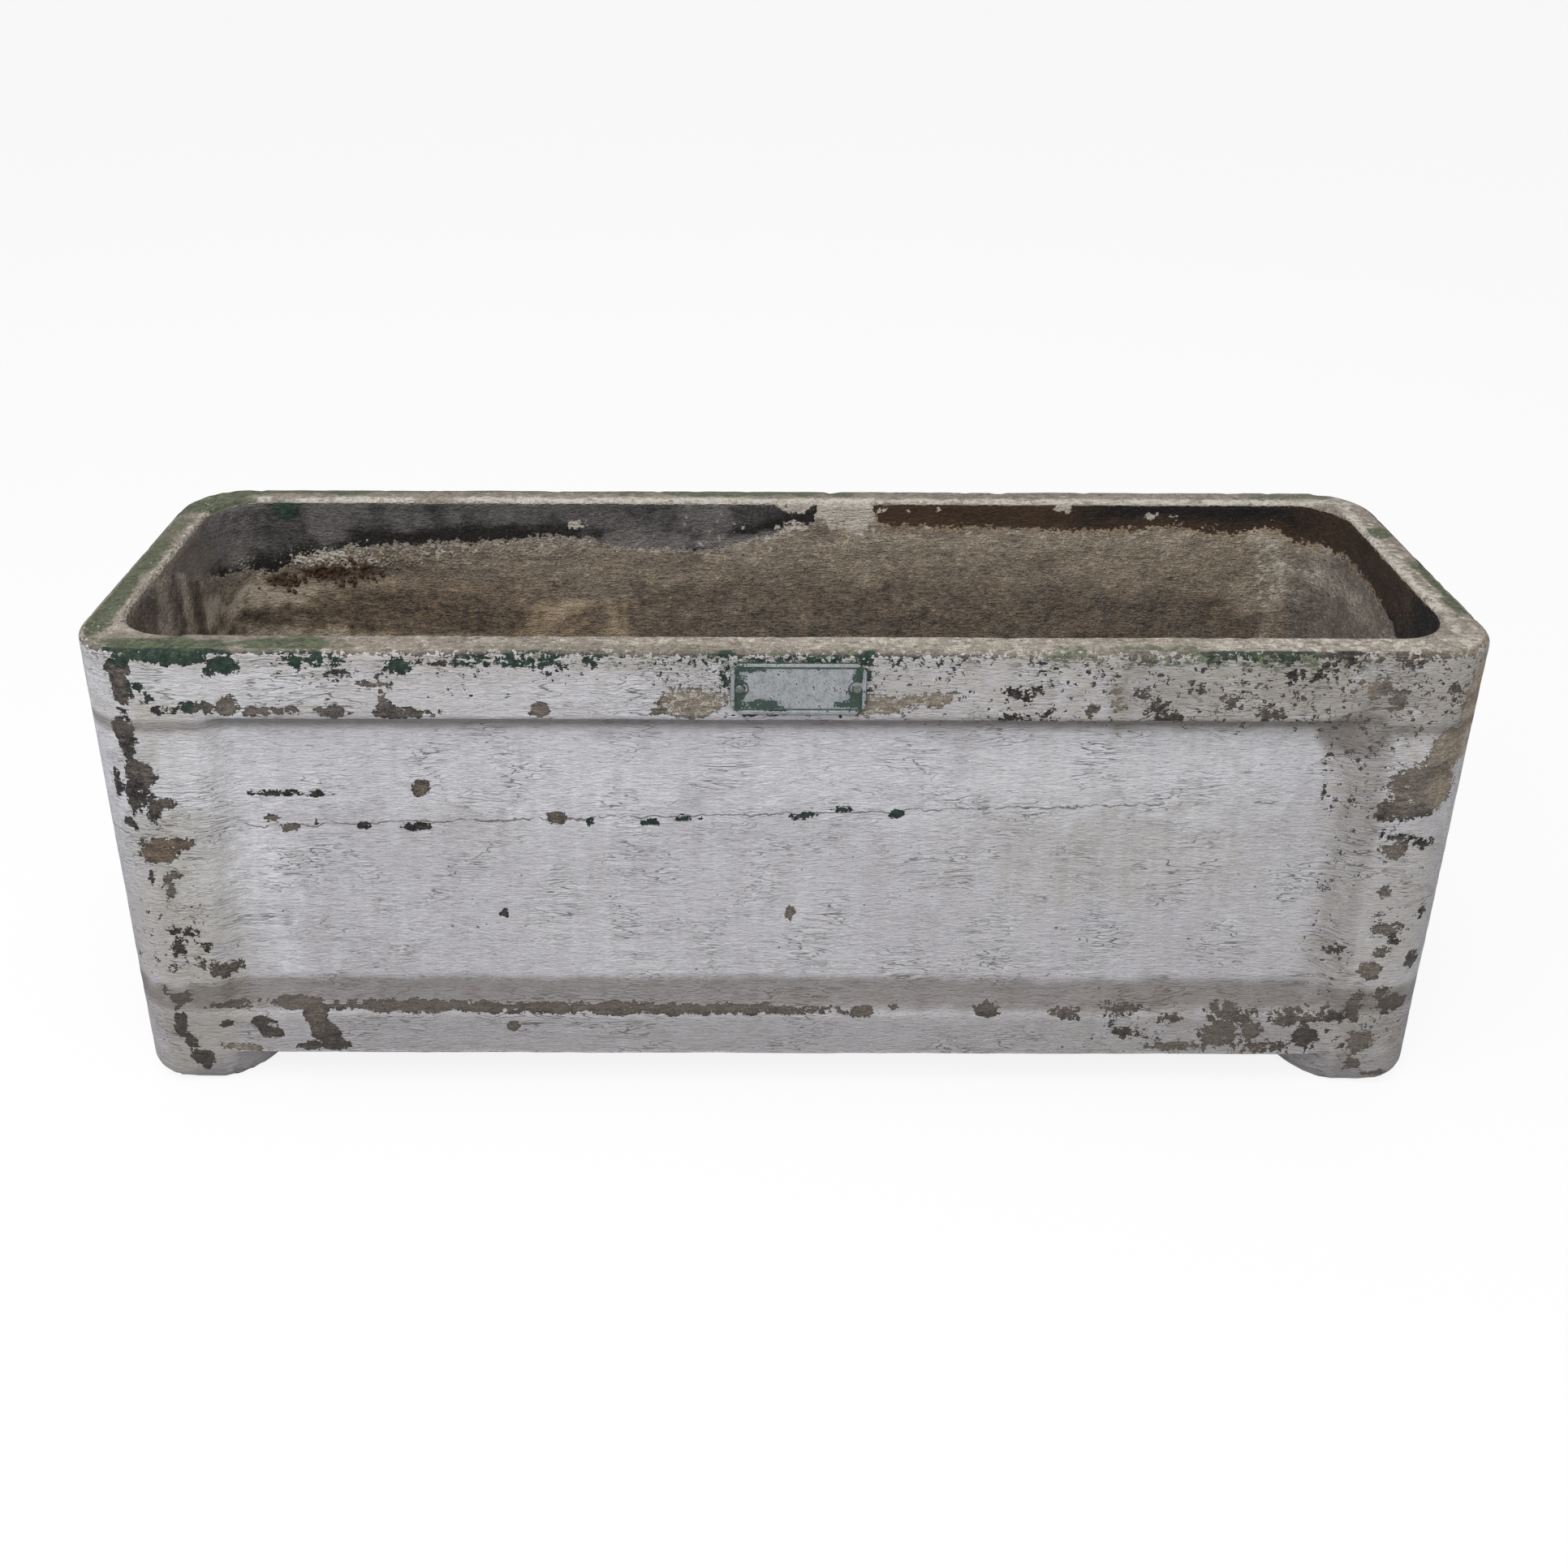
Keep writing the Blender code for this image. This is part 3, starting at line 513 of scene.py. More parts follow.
@dataclass
class TroughCasting:
    """The concrete casting as one closed mesh, fine enough to carry its wear."""

    length: float = 1.000
    width: float = 0.300
    height: float = 0.380
    draught: float = 0.008
    corner_radius: float = 0.047
    rim_width: float = 0.027
    outer_arris: float = 0.006
    inner_arris: float = 0.004
    inner_corner_radius: float = 0.041
    inner_draught: float = 0.012
    floor_thickness: float = 0.030
    floor_fillet: float = 0.018
    foot_height: float = 0.0315
    toe_radius: float = 0.014
    sole_length: float = 0.083
    sole_depth: float = 0.055
    ogee_run: float = 0.028
    front_sweep: tuple[float, float] = (0.066, 0.0525)
    end_sweep: tuple[float, float] = (0.025, 0.045)
    rim_band: float = 0.055
    base_band: float = 0.0355
    stile_above: float = 0.087
    stile_below: float = 0.066
    panel_depth: float = 0.0095
    reveal_run: float = 0.026
    cove_run: float = 0.010
    ledge_run: float = 0.028
    ledge_straight_share: float = 0.6
    drain_radius: float = 0.011
    drain_pitch: float = 0.220
    drain_sides: int = 40
    front_pitch: float = 0.0036
    back_pitch: float = 0.0051
    end_pitch: float = 0.0060
    wall_pitch: float = 0.0040
    hollow_pitch: float = 0.0041
    deep_pitch: float = 0.0160
    deep_start: float = 0.130
    level_from: float = 0.045
    corner_steps: int = 12
    sole_ramp: int = 6
    cap_inset: float = 0.110
    cap_radius: float = 0.120

    @property
    def floor_top(self) -> float:
        """Height of the hollow's floor."""
        return self.foot_height + self.floor_thickness

    @property
    def panel_top(self) -> float:
        """Height of the recess's upper edge."""
        return self.height - self.rim_band

    @property
    def panel_bottom(self) -> float:
        """Height of the recess's lower edge."""
        return self.foot_height + self.base_band

    @property
    def perimeter(self) -> float:
        """Length of the rim's outer line, all the way round."""
        straight = self.length + self.width - 4 * self.corner_radius
        return 2 * straight + math.tau * self.corner_radius

    def outer_inset(self, z: np.ndarray) -> np.ndarray:
        """How far the outer wall has drawn in at a height, the rounding of the toe included."""
        toe = np.clip(1 - z / self.toe_radius, 0, 1)
        drawn_in = self.draught * (self.height - z) / self.height
        return drawn_in + self.toe_radius * (1 - np.sqrt(1 - toe * toe))

    def toe_rise(self, inset: np.ndarray) -> np.ndarray:
        """Height of the rounding of the toe at a distance in from the rim's outer line."""
        out = np.clip(1 - (inset - self.draught) / self.toe_radius, 0, 1)
        return self.toe_radius * (1 - np.sqrt(1 - out * out))

    def inner_inset(self, z: np.ndarray) -> np.ndarray:
        """How far the hollow's wall lies inside the rim's outer line at a height."""
        return self.rim_width + self.inner_draught * (self.height - z) / (self.height - self.floor_top)

    def columns(self) -> dict[str, np.ndarray]:
        """Lay out the places round the plan, counter-clockwise from the front's left.

        Returns:
            The outward direction of each column, its points on the rim's outer line, on the hollow's line and
            on the line that the floor draws in from, its place along its face, and its distance round the
            outside in metres and round the hollow in millimetres.
        """
        half_x, half_y = self.length / 2, self.width / 2
        reach = self.rim_width + self.inner_corner_radius
        radii = {"outer": self.corner_radius, "inner": reach, "cap": self.cap_radius}
        sides = ((0.0, half_x, half_y, self.front_pitch), (math.pi / 2, half_y, half_x, self.end_pitch),
                 (math.pi, half_x, half_y, self.back_pitch), (-math.pi / 2, half_y, half_x, self.end_pitch))
        found: dict[str, list[Any]] = {key: [] for key in (*radii, "n", "a", "half", "u")}

        def keep(**values: Any) -> None:
            """Keep what is known of one column."""
            for key, value in values.items():
                found[key].append(value)

        travelled = -(half_x - self.corner_radius)
        for heading, half, out, pitch in sides:
            turn = np.array([[math.cos(heading), -math.sin(heading)], [math.sin(heading), math.cos(heading)]])
            straight = half - self.corner_radius
            steps = max(2, round(2 * straight / pitch))
            for i in range(steps + 1):
                a = straight * (2 * i / steps - 1)
                feet = {key: turn @ (a * ((half - r) / straight), -out) for key, r in radii.items()}
                keep(n=turn @ (0.0, -1.0), a=a, half=half, u=travelled + a + straight, **feet)
            travelled += 2 * straight
            for i in range(1, self.corner_steps):
                angle = math.pi / 2 * i / self.corner_steps
                n = np.array((math.sin(angle), -math.cos(angle)))
                feet = {key: turn @ (np.array((half - r, r - out)) + n * r) for key, r in radii.items()}
                keep(n=turn @ n, a=half, half=half, u=travelled + self.corner_radius * angle, **feet)
            travelled += self.corner_radius * math.pi / 2
        made = {key: np.array(value) for key, value in found.items()}
        made["round"] = self.round_hollow(made["n"], made["inner"] - made["n"] * reach)
        return made

    def round_hollow(self, n: np.ndarray, core: np.ndarray) -> np.ndarray:
        """Distance of each column round the hollow from its back wall's middle, in mm, negative to the left.

        Args:
            n: Outward direction of each column.
            core: Centre that the column's corner turns about, or its foot on the line between two of them.

        Returns:
            The distances.
        """
        turn = np.arctan2(np.abs(n[:, 0]), n[:, 1])
        side = np.where(np.abs(n[:, 0]) > 1e-9, np.sign(n[:, 0]), np.sign(core[:, 0]))
        far_x, far_y = np.abs(core).max(axis=0)
        along_x = np.where(turn <= math.pi / 2 + 1e-6, np.abs(core[:, 0]), 2 * far_x - np.abs(core[:, 0]))
        return side * (self.inner_corner_radius * turn + along_x + far_y - core[:, 1]) / MM

    def underside(self, x: np.ndarray, y: np.ndarray) -> np.ndarray:
        """Height of the underside: feet at the corners, whose cheeks are ogees and sweep back from the faces.

        Args:
            x: Places along the trough.
            y: Places across it.

        Returns:
            Heights.
        """
        far = (np.abs(x), np.abs(y))
        halves = (self.length / 2 - self.draught, self.width / 2 - self.draught)
        soles = ((self.sole_length, *self.front_sweep), (self.sole_depth, *self.end_sweep))
        rise = np.zeros_like(x)
        for axis, (sole, sweep_length, sweep_depth) in enumerate(soles):
            from_face = np.clip(1 - (halves[1 - axis] - far[1 - axis]) / sweep_depth, 0, 1)
            swept = sweep_length * (1 - np.sqrt(1 - from_face * from_face))
            opening = halves[axis] - self.toe_radius - sole + swept - far[axis]
            share = (1 - np.cos(math.pi * np.clip(opening / self.ogee_run, 0, 1))) / 2
            rise = np.maximum(rise, share)
        return self.foot_height * rise

    def recess(self, a: np.ndarray, half: np.ndarray, z: np.ndarray) -> np.ndarray:
        """Depth of the recessed panel on a face, with soft reveals, a coved head and a sloping ledge.

        Args:
            a: Places along the face, from its middle.
            half: Half the face's length.
            z: Heights.

        Returns:
            Depths.
        """
        part = np.linspace(0, 1, 65)
        share = (1 - np.cos(math.pi * part)) / 2
        rounded = 1 - np.sqrt(1 - share * share)
        mixed = self.ledge_straight_share * share + (1 - self.ledge_straight_share) * rounded
        below = half - self.outer_inset(np.array(self.panel_bottom)) - self.stile_below
        above = half - self.stile_above
        along = np.clip((z - self.panel_bottom) / (self.panel_top - self.panel_bottom), 0, 1)
        edge = below + (above - below) * along
        from_side = np.interp((edge - np.abs(a)) / self.reveal_run, part, share)
        from_head = np.interp((self.panel_top - z) / self.cove_run, rounded, share)
        from_ledge = np.interp((z - self.panel_bottom) / self.ledge_run, mixed, share)
        inside = (np.abs(a) < edge) & (z < self.panel_top) & (z > self.panel_bottom)
        sunk = np.where(inside, np.minimum(from_side, np.minimum(from_head, from_ledge)), 0.0)
        return self.panel_depth * sunk

    def build(self) -> bpy.types.Object:
        """Make the casting with its wear layers.

        Returns:
            The finished object, which still needs its finish.
        """
        grid, zone, plane = self.surface(self.columns())
        layers = Weathering(self, grid, zone, plane).layers()
        mesh = self.skin(Erosion(self).worn(grid, zone, layers[Layer.CRUST]))
        for layer, values in layers.items():
            extra = len(mesh.vertices) - values.size
            flat = np.concatenate([values.ravel(), np.full(extra, values[-1].mean())])
            stored = mesh.attributes.new(layer.value, "FLOAT", "POINT")
            stored.data.foreach_set("value", flat.astype(np.float32))
        return in_scene("painted_trough", mesh)

    def surface(self, col: dict[str, np.ndarray]) -> tuple[np.ndarray, np.ndarray, np.ndarray]:
        """Lay rings of points over the underside, up the outside, over the rim and down the hollow.

        Args:
            col: The places round the plan.

        Returns:
            Points by ring and column, the zone of each ring, and the two directions of wear at each point.
        """
        rings: list[np.ndarray] = []
        zones: list[int] = []
        planes: list[np.ndarray] = []
        n, outer, inner, cap, u = col["n"], col["outer"], col["inner"], col["cap"], col["u"] / MM

        def lay(plan: np.ndarray, z: Any, zone: Zone, first: np.ndarray, second: Any) -> None:
            """Keep one ring with its zone and its two directions of wear."""
            rings.append(np.column_stack([plan, np.broadcast_to(z, len(u))]))
            zones.append(zone.value)
            planes.append(np.column_stack([first, np.broadcast_to(second, len(u))]))

        def lay_wall(z: Any) -> None:
            """Keep one ring of the outer wall, drawn in by the recesses."""
            z = np.broadcast_to(z, len(u))
            inset = self.outer_inset(z) + self.recess(col["a"], col["half"], z)
            lay(outer - n * inset[:, None], z, Zone.OUTSIDE, u, z / MM)

        def lay_hollow(z: float, inset: float) -> None:
            """Keep one ring of the hollow's wall."""
            lay(inner - n * inset, z, Zone.HOLLOW, col["round"], (self.height - z) / MM)

        edge_z = self.underside(*outer.T)
        for _ in range(3):
            edge = outer - n * self.outer_inset(edge_z)[:, None]
            edge_z = self.underside(*edge.T)
        sole, top = edge_z < MM, 0.96 * self.toe_radius
        for _ in range(self.sole_ramp):
            beside = np.maximum(np.roll(edge_z, 1), np.roll(edge_z, -1)) - self.toe_radius / self.sole_ramp
            edge_z = np.where(sole, np.maximum(edge_z, np.minimum(beside, top)), edge_z)
        edge_inset = self.outer_inset(edge_z)
        for inset in np.concatenate([np.linspace(self.cap_inset, 0.080, 3), np.linspace(0.070, 0.005, 12)]):
            mix = inset / self.cap_inset
            plan = outer * (1 - mix) + cap * mix - n * (edge_inset + inset)[:, None]
            z = np.maximum(self.underside(*plan.T), self.toe_rise(edge_inset + inset))
            lay(plan, z, Zone.UNDERSIDE, u, np.where(z > 0.5 * MM, inset, self.cap_inset) / MM)
        wall_top, level = self.height - self.outer_arris, self.level_from
        for share in np.linspace(0, 1, round(level / self.wall_pitch), endpoint=False):
            lay_wall(edge_z + (level - edge_z) * share)
        for z in np.linspace(level, wall_top, round((wall_top - level) / self.wall_pitch) + 1):
            lay_wall(z)
        for angle in np.radians((20, 42, 66)):
            z = self.height - self.outer_arris * (1 - math.sin(angle))
            inset = self.outer_inset(np.array(z)) + self.outer_arris * (1 - math.cos(angle))
            lay(outer - n * inset, z, Zone.OUTSIDE, u, z / MM)
        last = self.rim_width - self.inner_arris
        for share in np.linspace(0, 1, 7):
            inset = self.outer_arris + (last - self.outer_arris) * share
            mix = share * share * (3 - 2 * share)
            plan = outer * (1 - mix) + inner * mix - n * inset
            lay(plan, self.height, Zone.RIM, *(plan / MM).T)
        for angle in np.radians((30, 60)):
            z = self.height - self.inner_arris * (1 - math.cos(angle))
            plan = inner - n * (self.rim_width - self.inner_arris * (1 - math.sin(angle)))
            lay(plan, z, Zone.RIM, *(plan / MM).T)
        fillet_top = self.floor_top + self.floor_fillet
        start, deep = self.height - self.inner_arris, self.height - self.deep_start
        upper = np.linspace(start, deep, round((start - deep) / self.hollow_pitch), endpoint=False)
        lower = np.linspace(deep, fillet_top, round((deep - fillet_top) / self.deep_pitch))
        for z in np.concatenate([upper, lower]):
            lay_hollow(z, self.inner_inset(z))
        for angle in np.radians((22, 45, 68, 90)):
            z = fillet_top - self.floor_fillet * math.sin(angle)
            lay_hollow(z, self.inner_inset(z) + self.floor_fillet * (1 - math.cos(angle)))
        start = self.inner_inset(self.floor_top) + self.floor_fillet
        for share in np.linspace(0, 1, 7)[1:]:
            plan = inner * (1 - share) + cap * share - n * (start + (self.cap_inset - start) * share)
            lay(plan, self.floor_top, Zone.HOLLOW, col["round"], (self.height - self.floor_top) / MM)
        return np.array(rings), np.array(zones), np.array(planes)

    def skin(self, grid: np.ndarray) -> bpy.types.Mesh:
        """Join the rings into a closed mesh, with drain holes through the two caps.

        Args:
            grid: Points by ring and column.

        Returns:
            The mesh, whose first vertices are the grid's, ring by ring.
        """
        work = bmesh.new()
        rows, count = grid.shape[:2]
        verts = [[work.verts.new(point) for point in ring] for ring in grid]
        for lower, upper in zip(verts, verts[1:]):
            for i in range(count):
                j = (i + 1) % count
                work.faces.new((lower[i], lower[j], upper[j], upper[i]))
        for ring in (verts[0], verts[-1]):
            self.cap_off(work, ring)
        self.line_drains(work)
        work.verts.index_update()
        work.normal_update()
        mesh = bpy.data.meshes.new("painted_trough")
        work.to_mesh(mesh)
        work.free()
        mesh.shade_smooth()
        LOG.info("casting: %d rings of %d, %d faces", rows, count, len(mesh.polygons))
        return mesh

    def cap_off(self, work: bmesh.types.BMesh, ring: list[bmesh.types.BMVert]) -> None:
        """Fill the flat middle of the floor or the underside, round its drain holes.

        Args:
            work: The mesh in the making.
            ring: The last ring round that middle.
        """
        z = ring[0].co.z
        edges = [work.edges.get((ring[i - 1], ring[i])) for i in range(len(ring))]
        for k in (-1, 0, 1):
            circle = []
            for i in range(self.drain_sides):
                angle = math.tau * i / self.drain_sides
                x = k * self.drain_pitch + self.drain_radius * math.cos(angle)
                circle.append(work.verts.new((x, self.drain_radius * math.sin(angle), z)))
            edges += [work.edges.new((circle[i - 1], circle[i])) for i in range(len(circle))]
        made = bmesh.ops.triangle_fill(work, use_beauty=True, use_dissolve=False, edges=edges)
        up = z > self.foot_height * 1.5
        for face in [g for g in made["geom"] if isinstance(g, bmesh.types.BMFace)]:
            face.normal_update()
            if (face.normal.z > 0) != up:
                face.normal_flip()

    def line_drains(self, work: bmesh.types.BMesh) -> None:
        """Join each drain hole's edge in the underside to its edge in the floor."""
        work.verts.ensure_lookup_table()
        each = self.drain_sides
        first = len(work.verts) - 6 * each
        for k in range(3):
            low = [work.verts[first + k * each + i] for i in range(each)]
            high = [work.verts[first + (3 + k) * each + i] for i in range(each)]
            for i in range(each):
                j = (i + 1) % each
                work.faces.new((low[j], low[i], high[i], high[j]))


@dataclass
class Erosion:
    """Unevenness of the casting: hand-tooled faces, broken arrises and a lumpy hollow with its crust."""

    cast: TroughCasting
    wave: float = 0.0007
    lump: float = 0.0005
    chip: float = 0.0034
    hollow_wave: float = 0.0030
    hollow_lump: float = 0.0016
    crust: float = 0.0030
    arris_reach: float = 0.007
    rim_reach: float = 0.006
    calm_below_rim: float = 0.012

    def worn(self, grid: np.ndarray, zone: np.ndarray, crust: np.ndarray) -> np.ndarray:
        """Move the points of the grid: into the casting outside, and either way in the hollow.

        Args:
            grid: Points by ring and column.
            zone: Zone number of each ring.
            crust: How much crust lies at each point.

        Returns:
            The moved points.
        """
        moved = grid.copy()
        across = np.roll(grid, -1, axis=1) - np.roll(grid, 1, axis=1)
        normal = np.cross(across, np.gradient(grid, axis=0))
        normal /= np.maximum(np.linalg.norm(normal, axis=2, keepdims=True), 1e-9)
        for r, c in np.ndindex(grid.shape[:2]):
            p = Vector(grid[r, c])
            if zone[r] == Zone.HOLLOW.value:
                depth = self.in_hollow(p, crust[r, c])
            else:
                slow = noise.noise(p * 14.0) * 0.5 + 0.5
                quick = noise.noise(Vector((p.x * 60, p.y * 60, p.z * 130))) * 0.5 + 0.5
                depth = self.wave * slow + self.lump * quick + self.at_arris(p, zone[r])
            moved[r, c] -= normal[r, c] * depth
        return moved

    def in_hollow(self, p: Vector, crust: float) -> float:
        """How far a point of the hollow sinks into its wall, less the crust on it."""
        wave = self.hollow_wave * (noise.noise(p * 16.0) * 0.5 + 0.3)
        lump = self.hollow_lump * noise.noise(p * 52.0) + 0.5 * self.hollow_lump * noise.noise(p * 120.0)
        share = min(1.0, (self.cast.height - p.z) / self.calm_below_rim)
        return (wave + lump) * share - self.crust * crust * (0.7 + 0.6 * noise.noise(p * 150.0)) * share

    def at_arris(self, p: Vector, zone: int) -> float:
        """How much has broken off at a point near one of the rim's arrises."""
        below = self.cast.height - p.z
        if below > self.arris_reach or zone == Zone.UNDERSIDE.value:
            return 0.0
        rough = noise.noise(p * 55.0) + 0.6 * noise.noise(p * 150.0)
        near = 1.0
        if zone == Zone.RIM.value:
            inset = min(self.cast.length / 2 - abs(p.x), self.cast.width / 2 - abs(p.y))
            inner = self.cast.rim_width - self.cast.inner_arris
            away = min(abs(inset - self.cast.outer_arris), abs(inner - inset))
            near = float(np.clip(1 - away / self.rim_reach, 0, 1))
        return self.chip * max(0.0, rough - 0.22) * (1 - below / self.arris_reach) * near


@dataclass
class Weathering:
    """The wear layers of the casting, one number per vertex and layer.

    It takes the casting's points by ring and column, the zone of each ring and the two directions of wear.
    """

    cast: TroughCasting
    grid: np.ndarray
    zone: np.ndarray
    plane: np.ndarray
    soft: float = 3.6
    ragged: float = 1.3
    ragged_dirt_and_shade: float = 0.4

    def __post_init__(self) -> None:
        """Make the uneven numbers about zero that break up the outlines of the patches."""
        self.around = self.cast.perimeter / MM
        self.found = {layer: np.zeros(self.grid.shape[:2]) for layer in Layer}
        self.wobble = np.empty(self.grid.shape[:2])
        for r, c in np.ndindex(self.wobble.shape):
            p = Vector(self.grid[r, c])
            self.wobble[r, c] = 0.6 * noise.noise(p * 36.0) + 0.5 * noise.noise(p * 110.0)

    def layers(self) -> dict[Layer, np.ndarray]:
        """Work out every layer, by ring and column."""
        self.plain()
        self.smoke()
        for patch in [*(Bare(*row) for row in BARE_PATCHES), *self.scattered()]:
            self.strip(patch)
        placed = (Stain(*key, *row) for key, rows in STAINS.items() for row in rows)
        for stain in [*self.all_round(), *placed]:
            self.tint(stain)
        return self.found

    def plain(self) -> None:
        """Set the layers before any patch: paint outside, and bare concrete elsewhere."""
        outside, rim, hollow, under = ((self.zone == z.value)[:, None] for z in Zone)
        second, top, found = self.plane[:, :, 1], self.cast.height / MM, self.found
        found[Layer.PAINT][:] = np.where(outside, np.clip((top + 0.5 - second) / 7.0, 0, 1), 0.0)
        found[Layer.PAINT][:] = np.where(under, np.clip((46 - second) / 20, 0, 1), found[Layer.PAINT])
        found[Layer.TONE][:] = np.where(rim | (outside & (second > top - 8)), 0.68, 0.38)
        # The hollow's concrete grows darker with depth below the rim: painted shade
        found[Layer.TONE][:] = np.where(hollow, 0.62 - 0.18 * np.clip(second / 300, 0, 1), found[Layer.TONE])
        # Dirt along the foot of the outside; over the underside, painted shade on the feet's ogee cheeks
        found[Layer.GRIME_AND_SHADE][:] = np.where(outside & (second < 12), 0.4, np.where(under, 0.5, 0.0))
        found[Layer.WARM][:] = np.where(hollow, 0.42, 0.1)

    def smoke(self) -> None:
        """Blacken a band under the hollow's rim, smoky on the left, brown on the right, black at its edge."""
        rings, along, depth = self.offsets(Zone.HOLLOW, 0, 0)
        above = np.interp(along, *np.array(SOOT_EDGE).T) - depth
        near_edge = np.interp(above, (0, 9, 17), (-0.02, 0.02, 0.25))
        brown_edge = np.interp(above, (0, 14, 20), (0.02, -0.07, -0.08))
        right = np.clip((along - 30) / 20, 0, 1)
        soot = np.minimum(np.clip(0.5 + above / 16, 0, 1), np.clip(0.15 + depth / 7, 0, 1))
        self.found[Layer.SOOT][rings] = soot
        self.found[Layer.SMOKE][rings] = near_edge + (brown_edge - near_edge) * right
        brown = np.interp(along, (60, 90, 240, 290, 420, 460, 610, 650),
                          (0.1, 0.9, 0.8, 0.1, 0.1, 0.6, 0.6, 0.0))
        low_brown = np.interp(above, (0, 9, 15), (0.8, 0.5, 0.0)) * right
        warm = np.maximum(0.05, np.maximum(brown * right, low_brown))
        self.found[Layer.WARM][rings] = np.where(above > -4, warm, self.found[Layer.WARM][rings])

    def offsets(self, zone: Zone, along: float, across: float) -> tuple[np.ndarray, np.ndarray, np.ndarray]:
        """Find how far the points of a zone lie from a place, outside by the shorter way round.

        Args:
            zone: The zone.
            along: The place in its first direction.
            across: The place in its second direction.

        Returns:
            Which rings lie in the zone, and the distances of their points in both directions.
        """
        rings = self.zone == zone.value
        first = self.plane[rings, :, 0] - along
        if zone is Zone.OUTSIDE:
            first = (first + self.around / 2) % self.around - self.around / 2
        return rings, first, self.plane[rings, :, 1] - across

    def strip(self, patch: Bare) -> None:
        """Take the paint off a patch and set what shows under it."""
        rings, du, dz = self.offsets(Zone.OUTSIDE, patch.along, patch.height)
        small = min(patch.half_length, patch.half_height)
        reach = np.hypot(du / patch.half_length, dz / patch.half_height)
        depth = (1 - reach) * small + self.wobble[rings] * min(0.8 * small, 5.0)
        gone, near = (np.clip(start + depth / (2 * self.soft), 0, 1) for start in (0.5, 1.0))
        for layer, value in zip((Layer.TONE, Layer.GREEN, Layer.WARM), patch.under.value):
            was = self.found[layer][rings]
            self.found[layer][rings] = was + (value - was) * near
        self.found[Layer.PAINT][rings] = np.minimum(self.found[Layer.PAINT][rings], 1 - gone)

    def tint(self, stain: Stain) -> None:
        """Add a soft patch to one layer. Tone, warmth and smoke are set, and the others only grow."""
        rings, da, db = self.offsets(stain.zone, stain.along, stain.across)
        power = 2 if max(stain.half_length, stain.half_across) < 20 else 4
        reach = np.abs(da / stain.half_length) ** power + np.abs(db / stain.half_across) ** power
        reach = reach ** (1 / power)
        swing = self.ragged_dirt_and_shade if stain.layer is Layer.GRIME_AND_SHADE else self.ragged
        small = min(stain.half_length, stain.half_across)
        depth = (1 - reach) * small + self.wobble[rings] * swing * stain.edge
        share = np.clip(1 + depth / stain.edge, 0, 1)
        share = share * share * (3 - 2 * share)
        was = self.found[stain.layer][rings]
        if stain.layer in (Layer.TONE, Layer.WARM, Layer.SMOKE):
            self.found[stain.layer][rings] = was + (stain.strength - was) * share
        else:
            self.found[stain.layer][rings] = np.maximum(was, share * stain.strength)

    def faces_round(self) -> tuple[tuple[float, float], ...]:
        """The four recesses round the outside: the middle and half length of each, in millimetres."""
        corner, radius = self.cast.length / 2 - self.cast.corner_radius, self.cast.corner_radius
        end = corner + radius * math.pi / 2 + self.cast.width / 2 - radius
        long_half = self.cast.length / 2 - self.cast.stile_above
        short_half = self.cast.width / 2 - self.cast.stile_above
        middles = ((0.0, long_half), (end, short_half), (-end, short_half),
                   (self.cast.perimeter / 2, long_half))
        return tuple((middle / MM, half / MM) for middle, half in middles)

    def all_round(self) -> Iterable[Stain]:
        """Painted shade in the coves and dirt on the ledges of all four sides, and blotches on the ends and
        the back.
        """
        draw = np.random.default_rng(WEAR_SEED + 1)
        for middle, half in self.faces_round():
            # Painted shade: a dark band in each cove, under the edge of the upper band
            yield Stain(Zone.OUTSIDE, Layer.GRIME_AND_SHADE, middle, 319, half, 2, 0.95, 6)
            yield Stain(Zone.OUTSIDE, Layer.GRIME_AND_SHADE, middle, 83, half, 8, 1.00, 10)
        kinds = ((Layer.CREAM, 0.8), (Layer.PALE, 0.7), (Layer.CRUMBLE, 0.9), (Layer.GRIME_AND_SHADE, 0.4))
        for _ in range(44):
            layer, strength = kinds[draw.integers(len(kinds))]
            along = draw.uniform(510, 2 * self.faces_round()[3][0] - 510)
            yield Stain(Zone.OUTSIDE, layer, along, draw.uniform(20, 370), draw.uniform(10, 110),
                        draw.uniform(8, 40), strength * draw.uniform(0.4, 1.0), draw.uniform(10, 34))
        for _ in range(26):
            along, depth = draw.uniform(-430, 430), draw.uniform(130, 330)
            yield Stain(Zone.HOLLOW, Layer.TONE, along, depth, draw.uniform(20, 110), draw.uniform(8, 40),
                        draw.uniform(0.25, 0.62), draw.uniform(10, 30))
        for _ in range(18):
            along = draw.uniform(740, 1150) * draw.choice((-1, 1))
            yield Stain(Zone.HOLLOW, Layer.TONE, along, draw.uniform(4, 60), draw.uniform(20, 90),
                        draw.uniform(6, 22), draw.uniform(0.1, 0.7), draw.uniform(6, 20))

